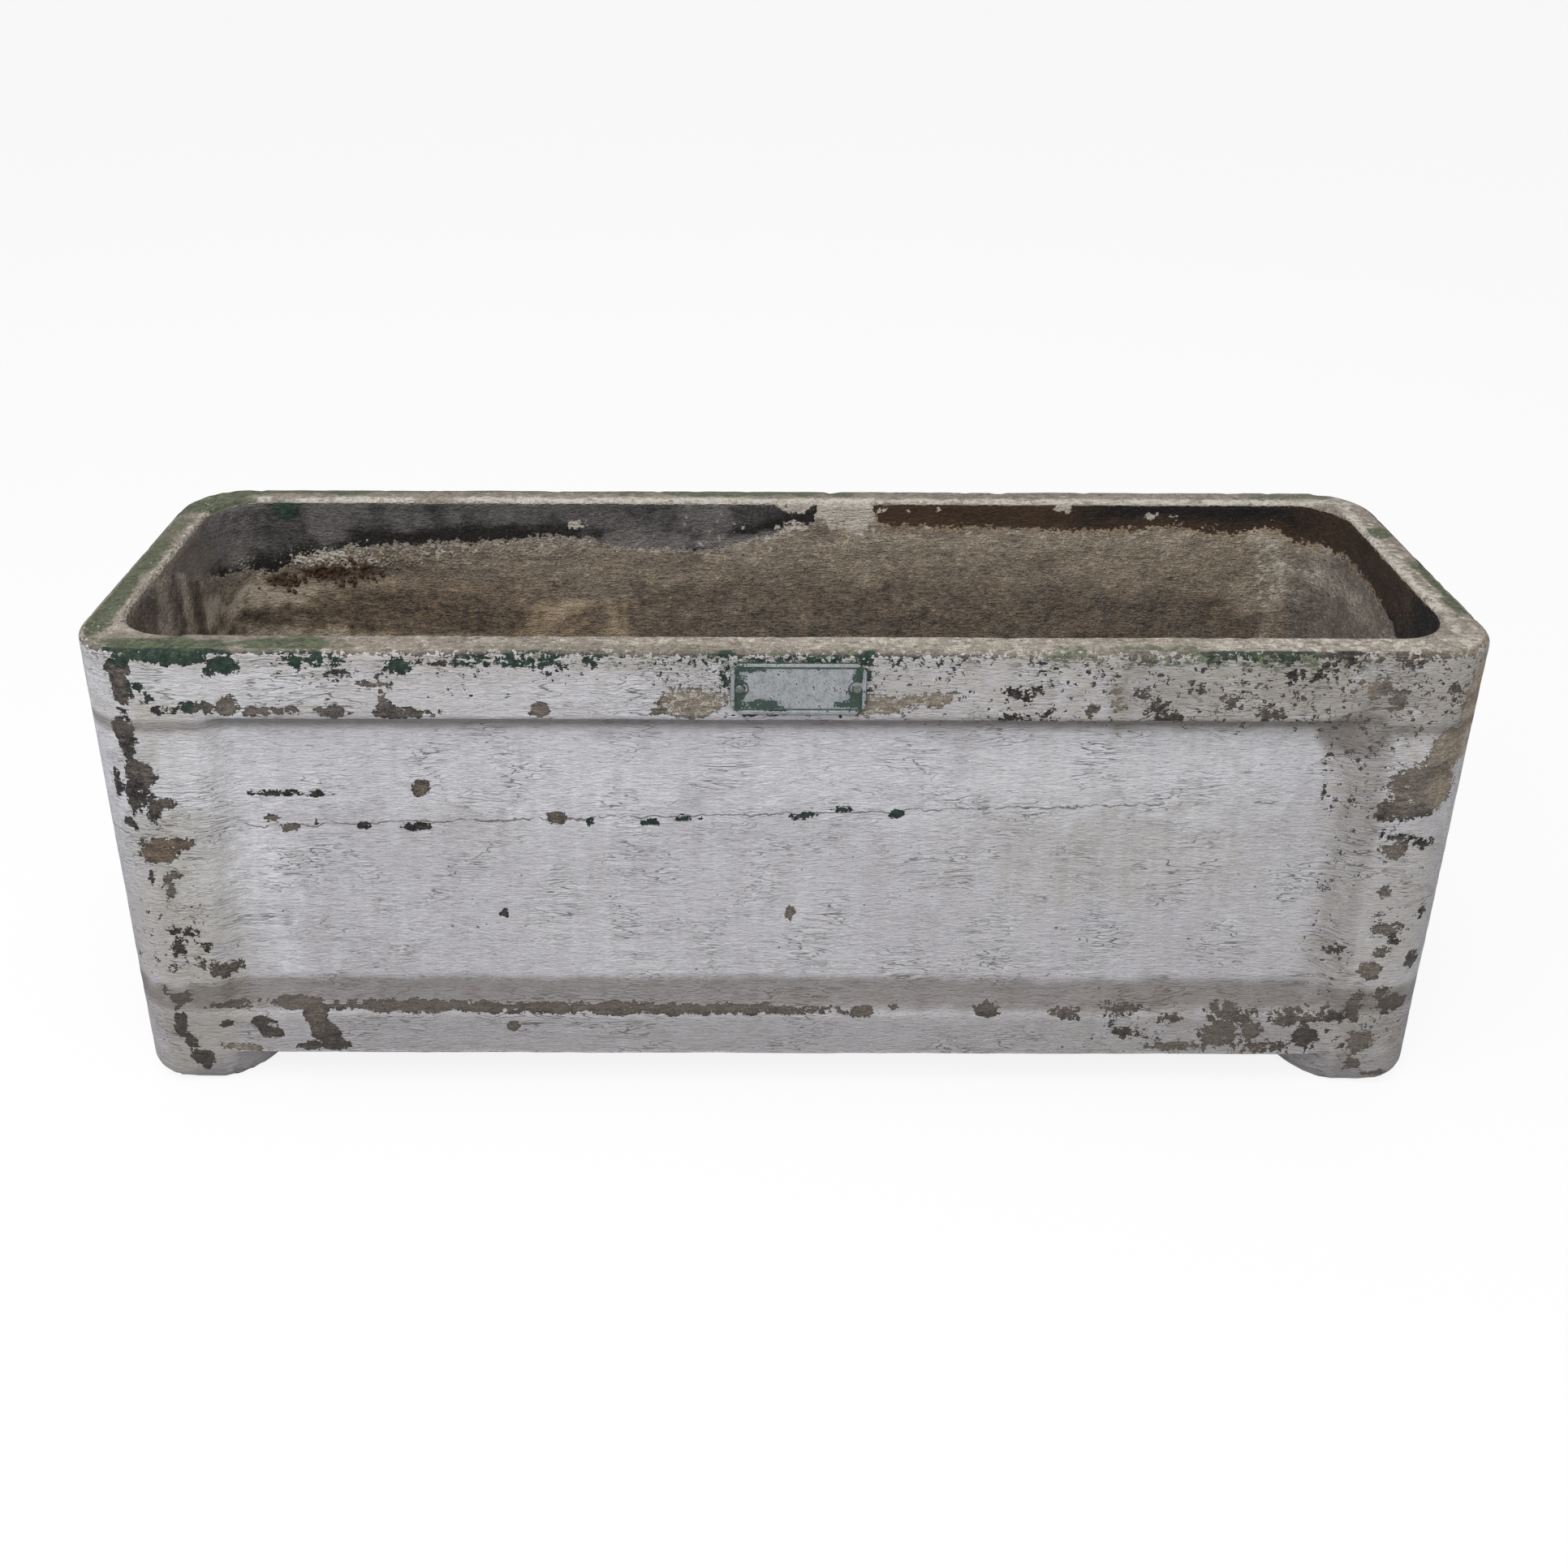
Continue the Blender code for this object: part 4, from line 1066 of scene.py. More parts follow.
    def scattered(self) -> Iterable[Bare]:
        """Patches of lost paint on the ends and the back, denser at the corners and along the arrises."""
        draw = np.random.default_rng(WEAR_SEED)
        half = self.cast.perimeter / MM / 2
        kinds = (CHARCOAL, BROWN, TAUPE, TAUPE, GREEN)
        corner = (self.cast.length / 2 - self.cast.corner_radius) / MM
        quarter = self.cast.corner_radius * math.pi / 2 / MM
        end = (self.cast.width - 2 * self.cast.corner_radius) / MM
        for side in (-1, 1):
            for middle, count in ((corner + quarter, 9), (corner + quarter * 1.5 + end, 34)):
                for _ in range(count):
                    shift = abs(draw.normal(0, 15)) if count < 10 else draw.normal(0, 20)
                    yield Bare(draw.choice(kinds), side * (middle + shift), draw.uniform(8, 370),
                               draw.uniform(3, 12), draw.uniform(3, 14))
        for _ in range(150):
            along = draw.uniform(corner + quarter, half) * draw.choice((-1, 1))
            height = draw.choice((374, 333, 72, 60)) + draw.normal(0, 4)
            yield Bare(draw.choice(kinds), along, height, draw.uniform(3, 26), draw.uniform(2.5, 6))
        for _ in range(34):
            along = draw.uniform(corner + quarter, half) * draw.choice((-1, 1))
            yield Bare(draw.choice(kinds), along, draw.uniform(100, 320), draw.uniform(3, 9),
                       draw.uniform(2.5, 6))


@dataclass
class WeatheredPaint(Finish):
    """Oil paint brushed on cast concrete in two coats, a cool white over dark green, and peeled by frost.

    Matt and a little chalky where it holds, with brush marks, hairline cracks and flakes with a broken edge.
    Where it is gone the concrete is rough and darker, with sand, small stones, algae and dirt.
    """

    name: str = "weathered_oil_paint_on_cast_concrete"
    cool_white: str = "#C8C6C9"
    cream_white: str = "#BDBAB2"
    pale_white: str = "#E1E1E6"
    dark_green: str = "#22332C"
    mid_green: str = "#425448"
    tar: str = "#1F1C1A"
    charcoal: str = "#4B4744"
    taupe: str = "#7B736A"
    tan: str = "#9F9689"
    chalk: str = "#D0C9BD"
    smoke: str = "#7C7F86"
    rust: str = "#5C4531"
    ochre: str = "#B09570"
    algae_dark: str = "#2B3927"
    algae_light: str = "#667152"
    # Colour of the dirt, also laid as painted shade in the coves and on the feet's cheeks
    dirt: str = "#6E665F"
    lobe_mm: float = 14.0
    frayed_mm: float = 4.5
    grain_mm: float = 1.4
    cloud_mm: float = 90.0
    laid_mm: tuple[float, float, float] = (13.0, 2.6, 2.6)
    ripple_mm: tuple[float, float, float] = (9.0, 4.0, 1.7)
    drip_mm: tuple[float, float, float] = (7.0, 7.0, 60.0)
    flake_mm: float = 3.6
    stone_mm: float = 3.2
    prick_mm: float = 9.0
    crack_mm: tuple[float, float, float] = (80.0, 80.0, 12.0)
    crack_levels: tuple[float, float, float] = (0.43, 0.50, 0.57)
    crack_width: float = 0.0075
    crack_area_mm: float = 44.0
    seam_z: float = 0.2425
    seam_rise: float = 0.030
    seam_width_mm: float = 0.9
    coat_mm: float = 1.3
    roughness_bare: float = 0.96
    roughness_paint: float = 0.80
    specular: float = 0.35

    def draw(self, tree: bpy.types.NodeTree, place: Any) -> dict[str, Any]:
        """Draw the paint where it holds, the ground where it is gone, and what lies over both.

        Args:
            tree: The material's tree.
            place: Socket of the place on the casting.

        Returns:
            The values and sockets of the shader by input name.
        """
        self.tree, self.place = tree, place
        self.on = SimpleNamespace(**{x.value: add(tree, "Attribute", out="Fac", attribute_name=x.value)
                                     for x in Layer})
        self.marks = self.patterns()
        self.cracks = self.cracked()
        self.stones = add(tree, "TexVoronoi", place, per_mm(self.stone_mm))
        held = self.held()
        holds = add(tree, "MapRange", held, 0.48, 0.52)
        rough = add(tree, "MapRange", holds, None, None, self.roughness_bare, self.roughness_paint)
        colour = self.film(painted(tree, self.ground(held), (holds, self.coat())))
        return {"Base Color": colour, "Roughness": rough, "Normal": self.relief(holds),
                "Specular IOR Level": self.specular}

    def patterns(self) -> dict[str, Any]:
        """Lay down the patterns that the rest is made from, as sockets from 0 to 1 by name."""
        tree, place = self.tree, self.place
        evens = (("lobes", self.lobe_mm, 2.0), ("frayed", self.frayed_mm, 2.0), ("grain", self.grain_mm, 1.0),
                 ("cloud", self.cloud_mm, 3.0))
        made = {name: add(tree, "TexNoise", place, per_mm(size), detail, 0.6) for name, size, detail in evens}
        drawn_out = (("laid", self.laid_mm, 3.0, 0.6), ("ripple", self.ripple_mm, 2.0, 1.2),
                     ("drips", self.drip_mm, 2.0, 0.0))
        for name, sizes, detail, bent in drawn_out:
            drawn = add(tree, "Mapping", place, None, None, per_mm(*sizes))
            made[name] = add(tree, "TexNoise", drawn, 1.0, detail, 0.6, None, bent)
        shaken = add(tree, "TexNoise", place, per_mm(self.frayed_mm), out="Color")
        moved = add(tree, "VectorMath", shaken, (self.flake_mm * MM,) * 3, place, operation="MULTIPLY_ADD")
        made["flakes"] = add(tree, "TexVoronoi", moved, per_mm(self.flake_mm), out="Color")
        return made

    def mottled(self, start: Any, **weights: float) -> Any:
        """Add to a value the swings of the named patterns, each times its weight."""
        return summed(self.tree, start, *((self.marks[name], weight) for name, weight in weights.items()))

    def held(self) -> Any:
        """How firmly the white coat holds: it is gone under a half, in flakes with ragged edges."""
        crumbled = self.mottled(-0.08, lobes=0.8, frayed=1.3, grain=1.0, flakes=0.8, ripple=1.0)
        worn = add(self.tree, "Math", self.on.crumble, crumbled, self.on.paint, operation="MULTIPLY_ADD")
        return self.mottled(worn, lobes=0.55, frayed=0.60, grain=0.28, flakes=0.28, ripple=0.34)

    def ground(self, held: Any) -> Any:
        """Colour of the bare concrete and the old green coat on it, darkest by the white coat's edge: painted
        shadow and dirt.

        Args:
            held: How firmly the white coat holds.

        Returns:
            The socket of the colour.
        """
        tree, on, marks = self.tree, self.on, self.marks
        stained = self.mottled(on.soot, lobes=0.8, frayed=0.7, flakes=0.4, ripple=0.4)
        soot = add(tree, "MapRange", stained, 0.45, 0.55)
        lined = add(tree, "MapRange", stained, 0.20, 0.44, None, 0.16)
        clean = add(tree, "Math", on.tone, lined, operation="ADD")
        level = add(tree, "Mix", soot, clean, on.smoke, data_type="FLOAT")
        tone = self.mottled(level, lobes=0.35, laid=0.45, ripple=0.45, grain=0.60, frayed=0.40, flakes=0.16,
                            cloud=0.20)
        calm = add(tree, "Math", soot, 0.36, operation="MULTIPLY")
        tone = add(tree, "Mix", calm, tone, level, data_type="FLOAT")
        bare = add(tree, "ValToRGB", tone)
        elements = bare.node.color_ramp.elements
        stops = ((0.0, self.tar), (0.22, self.charcoal), (0.5, self.taupe), (0.76, self.tan),
                 (1.0, self.chalk))
        while len(elements) < len(stops):
            elements.new(0.5)
        for element, (position, colour) in zip(elements, stops):
            element.position = position
            element.color = linear(colour)
        bright = add(tree, "MapRange", tone, 0.1, 0.8)
        warmth = self.mottled(on.warm, lobes=0.6, frayed=0.4)
        cool = add(tree, "MapRange", on.warm, 0.1, 0.4, 1.5, 0.0)
        speck = add(tree, "MapRange", self.stones, 0.12, 0.36, 0.75, 0.0)
        pebbly = add(tree, "Math", on.crust, 0.9, 0.06, operation="MULTIPLY_ADD")
        # Chalky concrete and crust, and a painted highlight along the rim's outer arris
        chalk_and_highlight = self.mottled(on.chalk, lobes=0.4, frayed=0.9, flakes=0.5, ripple=0.6)
        old = self.mottled(on.green, lobes=0.6, frayed=0.6)
        shade = add(tree, "MapRange", marks["frayed"], 0.35, 0.7)
        rusty = painted(tree, self.rust, (bright, self.ochre))
        smoky = painted(tree, self.tar, (bright, self.smoke))
        return painted(
            tree, bare,
            (add(tree, "MapRange", warmth, 0.15, 1.1, None, 0.75), rusty),
            (add(tree, "Math", cool, calm, operation="MULTIPLY"), smoky),
            (add(tree, "Math", speck, pebbly, operation="MULTIPLY"), self.chalk),
            (add(tree, "MapRange", chalk_and_highlight, 0.46, 0.56, None, 0.9), self.chalk),
            (add(tree, "MapRange", marks["ripple"], 0.40, 0.28, None, 0.55), self.charcoal),
            (add(tree, "MapRange", old, 0.42, 0.60), painted(tree, self.dark_green, (shade, self.mid_green))),
            # Painted shadow of the white coat's flaking edge on the ground beside it, with dirt lodged there
            (add(tree, "MapRange", held, 0.34, 0.48, None, 0.55), self.tar))

    def coat(self) -> Any:
        """Colour of the white coat: cool, creamy or pale, clouded, brushed, pricked and cracked."""
        tree, marks = self.tree, self.marks
        creamy = self.mottled(self.on.cream, cloud=0.8, lobes=0.4, ripple=0.3)
        creamy = add(tree, "Math", creamy, 1.0, operation="MULTIPLY", use_clamp=True)
        # Paler paint, and painted light across the top of the front panel
        pale = self.mottled(self.on.pale, drips=0.8, cloud=0.8, laid=0.5)
        pale = add(tree, "MapRange", pale, 0.15, 1.0, None, 0.9)
        white = painted(tree, self.cool_white, (creamy, self.cream_white), (pale, self.pale_white))
        lit = self.mottled(1.045, cloud=0.22, lobes=0.12, laid=0.16, ripple=0.46, grain=0.18)
        lit = add(tree, "CombineColor", lit, lit, lit)
        shaded = add(tree, "Mix", 1.0, white, lit, data_type="RGBA", blend_type="MULTIPLY")
        thinned = self.mottled(0.46, lobes=1.6, frayed=1.0, ripple=1.2)
        thinned = add(tree, "Math", thinned, self.on.crumble, operation="MULTIPLY", use_clamp=True)
        pricks = add(tree, "TexVoronoi", self.place, per_mm(self.prick_mm)).node.outputs
        size = add(tree, "MapRange", pricks["Color"], 0.70, 0.95, 0.0, 0.14)
        prick = add(tree, "Math", pricks["Distance"], size, operation="LESS_THAN")
        prick = add(tree, "Math", prick, 0.7, operation="MULTIPLY")
        groove = add(tree, "MapRange", marks["ripple"], 0.36, 0.25, None, 0.50)
        return painted(tree, shaded, (thinned, painted(tree, self.taupe, (marks["frayed"], self.chalk))),
                       (greatest(tree, prick, groove, self.cracks), self.charcoal))

    def cracked(self) -> Any:
        """Hairline cracks that wander along the faces in some areas, and one long crack along the panel."""
        tree, place = self.tree, self.place
        drawn = add(tree, "Mapping", place, None, None, per_mm(*self.crack_mm))
        run = add(tree, "TexNoise", drawn, 1.0, 3.5, 0.55, None, 0.4)
        line = greatest(tree, *(self.hairline(run, level, self.crack_width) for level in self.crack_levels))
        areas = add(tree, "TexNoise", place, per_mm(self.crack_area_mm), 3.0)
        here = add(tree, "MapRange", areas, 0.45, 0.62)
        axes = add(tree, "SeparateXYZ", place).node.outputs
        level = add(tree, "Math", axes["X"], -self.seam_rise, axes["Z"], operation="MULTIPLY_ADD")
        level = self.mottled(level, lobes=9 * MM, frayed=4 * MM)
        long = self.hairline(level, self.seam_z, self.seam_width_mm * MM)
        broken = add(tree, "MapRange", self.mottled(self.on.seam, laid=2.0, lobes=1.5), 0.6, 0.9)
        return greatest(tree, add(tree, "Math", line, here, operation="MULTIPLY"),
                        add(tree, "Math", long, broken, operation="MULTIPLY"))

    def hairline(self, run: Any, level: float, width: float) -> Any:
        """A thin dark line where a pattern passes through a level.

        Args:
            run: Socket of the pattern.
            level: The level.
            width: Half width of the line, in the pattern's own measure.

        Returns:
            The socket, from 0 to 1.
        """
        away = add(self.tree, "Math", run, level, operation="SUBTRACT")
        away = add(self.tree, "Math", away, operation="ABSOLUTE")
        return add(self.tree, "MapRange", away, width / 5, width, 0.8, 0.0)

    def film(self, colour: Any) -> Any:
        """Lay dirt, painted shade and algae over a colour, on paint and concrete alike."""
        tree = self.tree
        # Dirt, and painted shade in the coves and on the feet's cheeks
        dirt_and_shade = self.mottled(self.on.grime, lobes=0.3, laid=0.3, ripple=0.3)
        grown = self.mottled(self.on.algae, lobes=0.6, laid=0.8, frayed=0.9, ripple=1.2, grain=0.6)
        depth = self.mottled(0.42, ripple=2.6, frayed=1.4, grain=0.8)
        depth = add(tree, "Math", depth, 1.0, operation="MULTIPLY", use_clamp=True)
        return painted(tree, colour, (add(tree, "MapRange", dirt_and_shade, 0.1, 1.1, None, 0.8), self.dirt),
                       (add(tree, "MapRange", grown, 0.50, 0.68, None, 0.88),
                        painted(tree, self.algae_dark, (depth, self.algae_light))))

    def relief(self, holds: Any) -> Any:
        """Relief of the coat's edge, its brush marks and cracks, and the concrete's grain and crust.

        Args:
            holds: Where the white coat holds.

        Returns:
            The socket of the bumped normal.
        """
        tree = self.tree
        sand = self.mottled(0.0, grain=1.0, frayed=1.6, laid=0.8, ripple=1.0)
        lumps = add(tree, "MapRange", self.stones, None, 0.7, 2.2, 0.0)
        sand = add(tree, "Math", lumps, self.on.crust, sand, operation="MULTIPLY_ADD")
        brushed = self.mottled(1.0, laid=0.50, frayed=0.50, ripple=1.10)
        height = add(tree, "Mix", holds, sand, brushed, data_type="FLOAT")
        height = add(tree, "Math", self.cracks, -0.5, height, operation="MULTIPLY_ADD")
        return add(tree, "Bump", 1.0, self.coat_mm * MM, None, height)


@dataclass(frozen=True)
class MottledFinish(Finish):
    """A finish of two tones broken up by two grains, for small pieces of one substance.

    The name says what it is. Rough throughout, and the tones follow the relief, as dirt and wear do.
    """

    name: str
    dark: str
    light: str
    blotch_mm: float
    grain_mm: float
    roughness: float = 0.9
    metallic: float = 0.0
    relief_mm: float = 0.3

    def draw(self, tree: bpy.types.NodeTree, place: Any) -> dict[str, Any]:
        """Draw the two tones and their relief.

        Args:
            tree: The material's tree.
            place: Socket of the place on the piece.

        Returns:
            The values and sockets of the shader by input name.
        """
        blotch, grain = (add(tree, "TexNoise", place, per_mm(size), 3.0, 0.65)
                         for size in (self.blotch_mm, self.grain_mm))
        share = summed(tree, 0.5, (blotch, 1.6), (grain, 0.9))
        share = add(tree, "Math", share, 1.0, operation="MULTIPLY", use_clamp=True)
        height = summed(tree, 0.0, (blotch, 0.7), (grain, 0.8))
        bump = add(tree, "Bump", 1.0, self.relief_mm * MM, None, height)
        return {"Base Color": painted(tree, self.dark, (share, self.light)), "Roughness": self.roughness,
                "Metallic": self.metallic, "Normal": bump}


@dataclass(frozen=True)
class PlateEnamel(Finish):
    """Dark green enamel on pressed steel, brushed over later with the trough's white.

    A little glossier than the concrete's paint. The white has worn off the raised edges and the ends.
    """

    name: str = "white_over_green_enamel_on_pressed_steel"
    enamel: str = "#15261F"
    worn_enamel: str = "#3A5447"
    white: str = "#B4B7BB"
    soiled: str = "#777C7C"
    lobe_mm: float = 6.0
    frayed_mm: float = 1.5
    coat_mm: float = 0.25
    roughness: float = 0.55

    def draw(self, tree: bpy.types.NodeTree, place: Any) -> dict[str, Any]:
        """Draw the two coats, by how much white the plate's own attribute keeps.

        Args:
            tree: The material's tree.
            place: Socket of the place on the plate.

        Returns:
            The values and sockets of the shader by input name.
        """
        kept = add(tree, "Attribute", out="Fac", attribute_name=Nameplate.attribute)
        lobes, frayed = (add(tree, "TexNoise", place, per_mm(size), 3.0, 0.6)
                         for size in (self.lobe_mm, self.frayed_mm))
        holds = add(tree, "MapRange", summed(tree, kept, (lobes, 1.5), (frayed, 1.3)), 0.46, 0.54)
        soil = add(tree, "MapRange", summed(tree, 0.5, (lobes, 1.2), (frayed, 0.8)), 0.3, 0.9)
        green = painted(tree, self.enamel, (frayed, self.worn_enamel))
        white = painted(tree, self.white, (soil, self.soiled))
        bump = add(tree, "Bump", 1.0, self.coat_mm * MM, None, summed(tree, holds, (frayed, 0.5)))
        return {"Base Color": painted(tree, green, (holds, white)), "Roughness": self.roughness,
                "Normal": bump}


@dataclass
class Nameplate:
    """The pressed plate on the front: cut corners, a raised frame, a border bead that bows round the pins."""

    length: float = 0.094
    height: float = 0.0405
    thickness: float = 0.0010
    corner_cut: float = 0.0065
    least_cut: float = 0.0004
    frame_width: float = 0.0022
    frame_rise: float = 0.0008
    frame_slope: float = 0.0005
    field_insets: tuple[float, ...] = (0.0045, 0.0065, 0.0090, 0.0115, 0.0145, 0.0175)
    offset_x: float = 0.009
    centre_z: float = 0.352
    seat_gap: float = 0.0003
    face_out: float = 0.150
    draught: float = 0.008
    trough_height: float = 0.380
    border_inset: float = 0.0040
    border_cut: float = 0.0030
    bead_radius: float = 0.00055
    bow_radius: float = 0.0058
    pin_spacing: float = 0.081
    pin_head_radius: float = 0.0032
    pin_head_rise: float = 0.0015
    pin_shank_radius: float = 0.0013
    pin_shank_length: float = 0.016
    pin_clearance: float = 0.0003
    pin_sides: int = 28
    side_steps: tuple[int, int, int] = (60, 4, 20)
    worn_places: tuple[tuple[float, float, float, float], ...] = (
        (-42, -2, 5, 16), (-33, 16, 11, 3), (-25, -12.5, 12, 4), (-15, -17, 8, 3), (40, -8, 6, 9),
        (33, -12, 7, 3), (42, 11, 4, 6),
    )
    kept_field: float = 0.85
    kept_worn: float = 0.15
    kept_frame: float = 0.70
    kept_edge: float = 0.25
    kept_bead: float = 0.10
    attribute = "kept_white"

    def placed(self) -> Matrix:
        """The move that lays a flat item, its back at zero, against the leaning front."""
        inset = self.draught * (self.trough_height - self.centre_z) / self.trough_height
        lean = Matrix.Rotation(math.atan2(self.draught, self.trough_height), 4, "X")
        return Matrix.Translation((self.offset_x, inset - self.face_out, self.centre_z)) @ lean

    def outline(self, drawn_in: float, rise: float) -> list[Vector]:
        """The plate's outline with its cut corners, drawn in and raised, its points close enough for wear.

        Args:
            drawn_in: Distance from the edge.
            rise: Distance from the concrete.

        Returns:
            Points of the outline.
        """
        x, z = self.length / 2 - drawn_in, self.height / 2 - drawn_in
        corner = max(self.least_cut, self.corner_cut - drawn_in * (1 - math.tan(math.pi / 8)))
        ends = ((x, z - corner), (x - corner, z), (corner - x, z), (-x, z - corner),
                (-x, corner - z), (corner - x, -z), (x - corner, -z), (x, corner - z))
        long_steps, cut_steps, end_steps = self.side_steps
        points = []
        for i, count in enumerate((cut_steps, long_steps, cut_steps, end_steps) * 2):
            first, last = Vector(ends[i]), Vector(ends[(i + 1) % 8])
            for share in np.linspace(0, 1, count, endpoint=False):
                at = first.lerp(last, share)
                points.append(Vector((at.x, -self.seat_gap - rise, at.y)))
        return points

    def build(self) -> bpy.types.Object:
        """Make the plate with its holes and its border bead.

        Returns:
            The finished object.
        """
        top, flat, slope = self.thickness + self.frame_rise, self.thickness, self.frame_slope
        inner = slope + self.frame_width
        profile = ((0.0, 0.0), (0.0, flat), (0.2 * slope, flat + 0.7 * self.frame_rise), (slope, top),
                   (inner, top), (inner + 0.8 * slope, flat),
                   *((inset, flat) for inset in self.field_insets))
        skin = lofted([self.outline(*p) for p in profile])
        plate = in_scene("nameplate_pressed", as_mesh("nameplate", skin))
        holes = []
        for side in (-1, 1):
            bar = self.turned(*((self.pin_shank_radius + self.pin_clearance, out) for out in (0.004, -0.004)))
            hole = in_scene("plate_hole", as_mesh("bar", bar))
            hole.location.x = side * self.pin_spacing / 2
            step = plate.modifiers.new("hole", "BOOLEAN")
            step.operation, step.solver, step.object = "DIFFERENCE", "EXACT", hole
            holes.append(hole)
        baked(plate)
        for hole in holes:
            bpy.data.objects.remove(hole)
        finish = PlateEnamel().make()
        bead = self.border(finish)
        work = bmesh.new()
        work.from_mesh(plate.data)
        work.from_mesh(bead.data)
        bmesh.ops.recalc_face_normals(work, faces=work.faces)
        bpy.data.objects.remove(bead)
        mesh = as_mesh("nameplate_pressed", work)
        self.wear(mesh)
        mesh.transform(self.placed())
        mesh.materials.clear()
        mesh.materials.append(finish)
        plate.data = mesh
        return plate

    def turned(self, *profile: tuple[float, float]) -> bmesh.types.BMesh:
        """Turn a profile of radii and distances out of the wall about an axis square to the plate."""
        turns = [math.tau * i / self.pin_sides for i in range(self.pin_sides)]
        rings = [[Vector((r * math.cos(t), -out, r * math.sin(t))) for t in turns] for r, out in profile]
        return lofted(rings)

    def border(self, finish: bpy.types.Material) -> bpy.types.Object:
        """Run a bead along the border's path with Geometry Nodes.

        Args:
            finish: The plate's finish.

        Returns:
            The bead as an object of its own.
        """
        x, z = self.length / 2 - self.border_inset, self.height / 2 - self.border_inset
        pin_x = self.pin_spacing / 2
        reach = math.acos((x - pin_x) / self.bow_radius)
        quarter = [(x - self.border_cut, z), (x, z - self.border_cut)]
        for angle in np.linspace(reach, math.pi, 13):
            quarter.append((pin_x + self.bow_radius * math.cos(angle), self.bow_radius * math.sin(angle)))
        right = quarter + [(a, -b) for a, b in reversed(quarter[:-1])]
        path = right + [(-a, b) for a, b in reversed(right)]
        base = bpy.data.meshes.new("border_path")
        out = -self.seat_gap - self.thickness
        edges = [(i, (i + 1) % len(path)) for i in range(len(path))]
        base.from_pydata([(a, out, b) for a, b in path], edges, [])
        recipe = NodeRecipe("plate_border_bead", {"Bead Radius": ("Float", self.bead_radius),
                                                  "Finish": ("Material", finish)})
        curve = add(recipe.tree, "GeometryNodeMeshToCurve", recipe.given["Base"])
        section = add(recipe.tree, "GeometryNodeCurvePrimitiveCircle", 8, recipe.given["Bead Radius"])
        return recipe.run(add(recipe.tree, "GeometryNodeCurveToMesh", curve, section), base)

    def wear(self, mesh: bpy.types.Mesh) -> None:
        """Store how much of the white each vertex keeps: less at the edge, the bead and the worn places."""
        half_x, half_z = self.length / 2 / MM, self.height / 2 / MM
        kept = []
        for vertex in mesh.vertices:
            x, z = vertex.co.x / MM, vertex.co.z / MM
            value = self.kept_field
            for along, up, half_along, half_up in self.worn_places:
                reach = math.hypot((x - along) / half_along, (z - up) / half_up)
                value = min(value, self.kept_worn + self.kept_field * max(0.0, reach - 0.6))
            from_edge = min(half_x - abs(x), half_z - abs(z))
            if from_edge < 3.0:
                value = self.kept_edge if from_edge < 0.4 else max(value, self.kept_frame)
            raised = -vertex.co.y - self.seat_gap - self.thickness > self.bead_radius * 0.2
            if raised and from_edge > 3.2:
                value = min(value, self.kept_bead)
            kept.append(value)
        mesh.attributes.new(self.attribute, "FLOAT", "POINT").data.foreach_set("value", kept)

    def pins(self) -> bpy.types.Object:
        """Set two drive pins along the plate with Geometry Nodes.

        Returns:
            Both pins as one object.
        """
        seat = self.seat_gap + self.thickness + self.pin_clearance
        profile = [(self.pin_shank_radius, -self.pin_shank_length), (self.pin_shank_radius, seat),
                   (self.pin_head_radius * 0.97, seat)]
        for angle in np.linspace(0.12, math.pi / 2, 8)[:-1]:
            out = seat + self.pin_head_rise * math.sin(angle)
            profile.append((self.pin_head_radius * math.cos(angle), out))
        pattern = in_scene("pin_pattern", as_mesh("pin_pattern", self.turned(*profile), 50))
        # Hammered steel heads, oxidised to a dark greenish grey, with light blotches for painted highlights
        # and paint left round them
        finish = MottledFinish("oxidised_drive_pin_steel", "#121513", "#8A918C", 3.0, 0.8, 0.40, 0.5,
                               0.16).make()
        recipe = NodeRecipe("plate_pins", {
            "Count": ("Int", 2), "Start": ("Vector", (-self.pin_spacing / 2, 0.0, 0.0)),
            "Pitch": ("Vector", (self.pin_spacing, 0.0, 0.0)), "Pin": ("Object", pattern),
            "Finish": ("Material", finish)})
        tree, given = recipe.tree, recipe.given
        row = add(tree, "GeometryNodeMeshLine", given["Count"], given["Start"], given["Pitch"])
        pin = add(tree, "GeometryNodeObjectInfo", given["Pin"], out="Geometry")
        placed = add(tree, "GeometryNodeInstanceOnPoints", row, None, pin)
        made = recipe.run(placed, bpy.data.meshes.new("pins_start"))
        made.data.transform(self.placed())
        bpy.data.objects.remove(pattern)
        return made


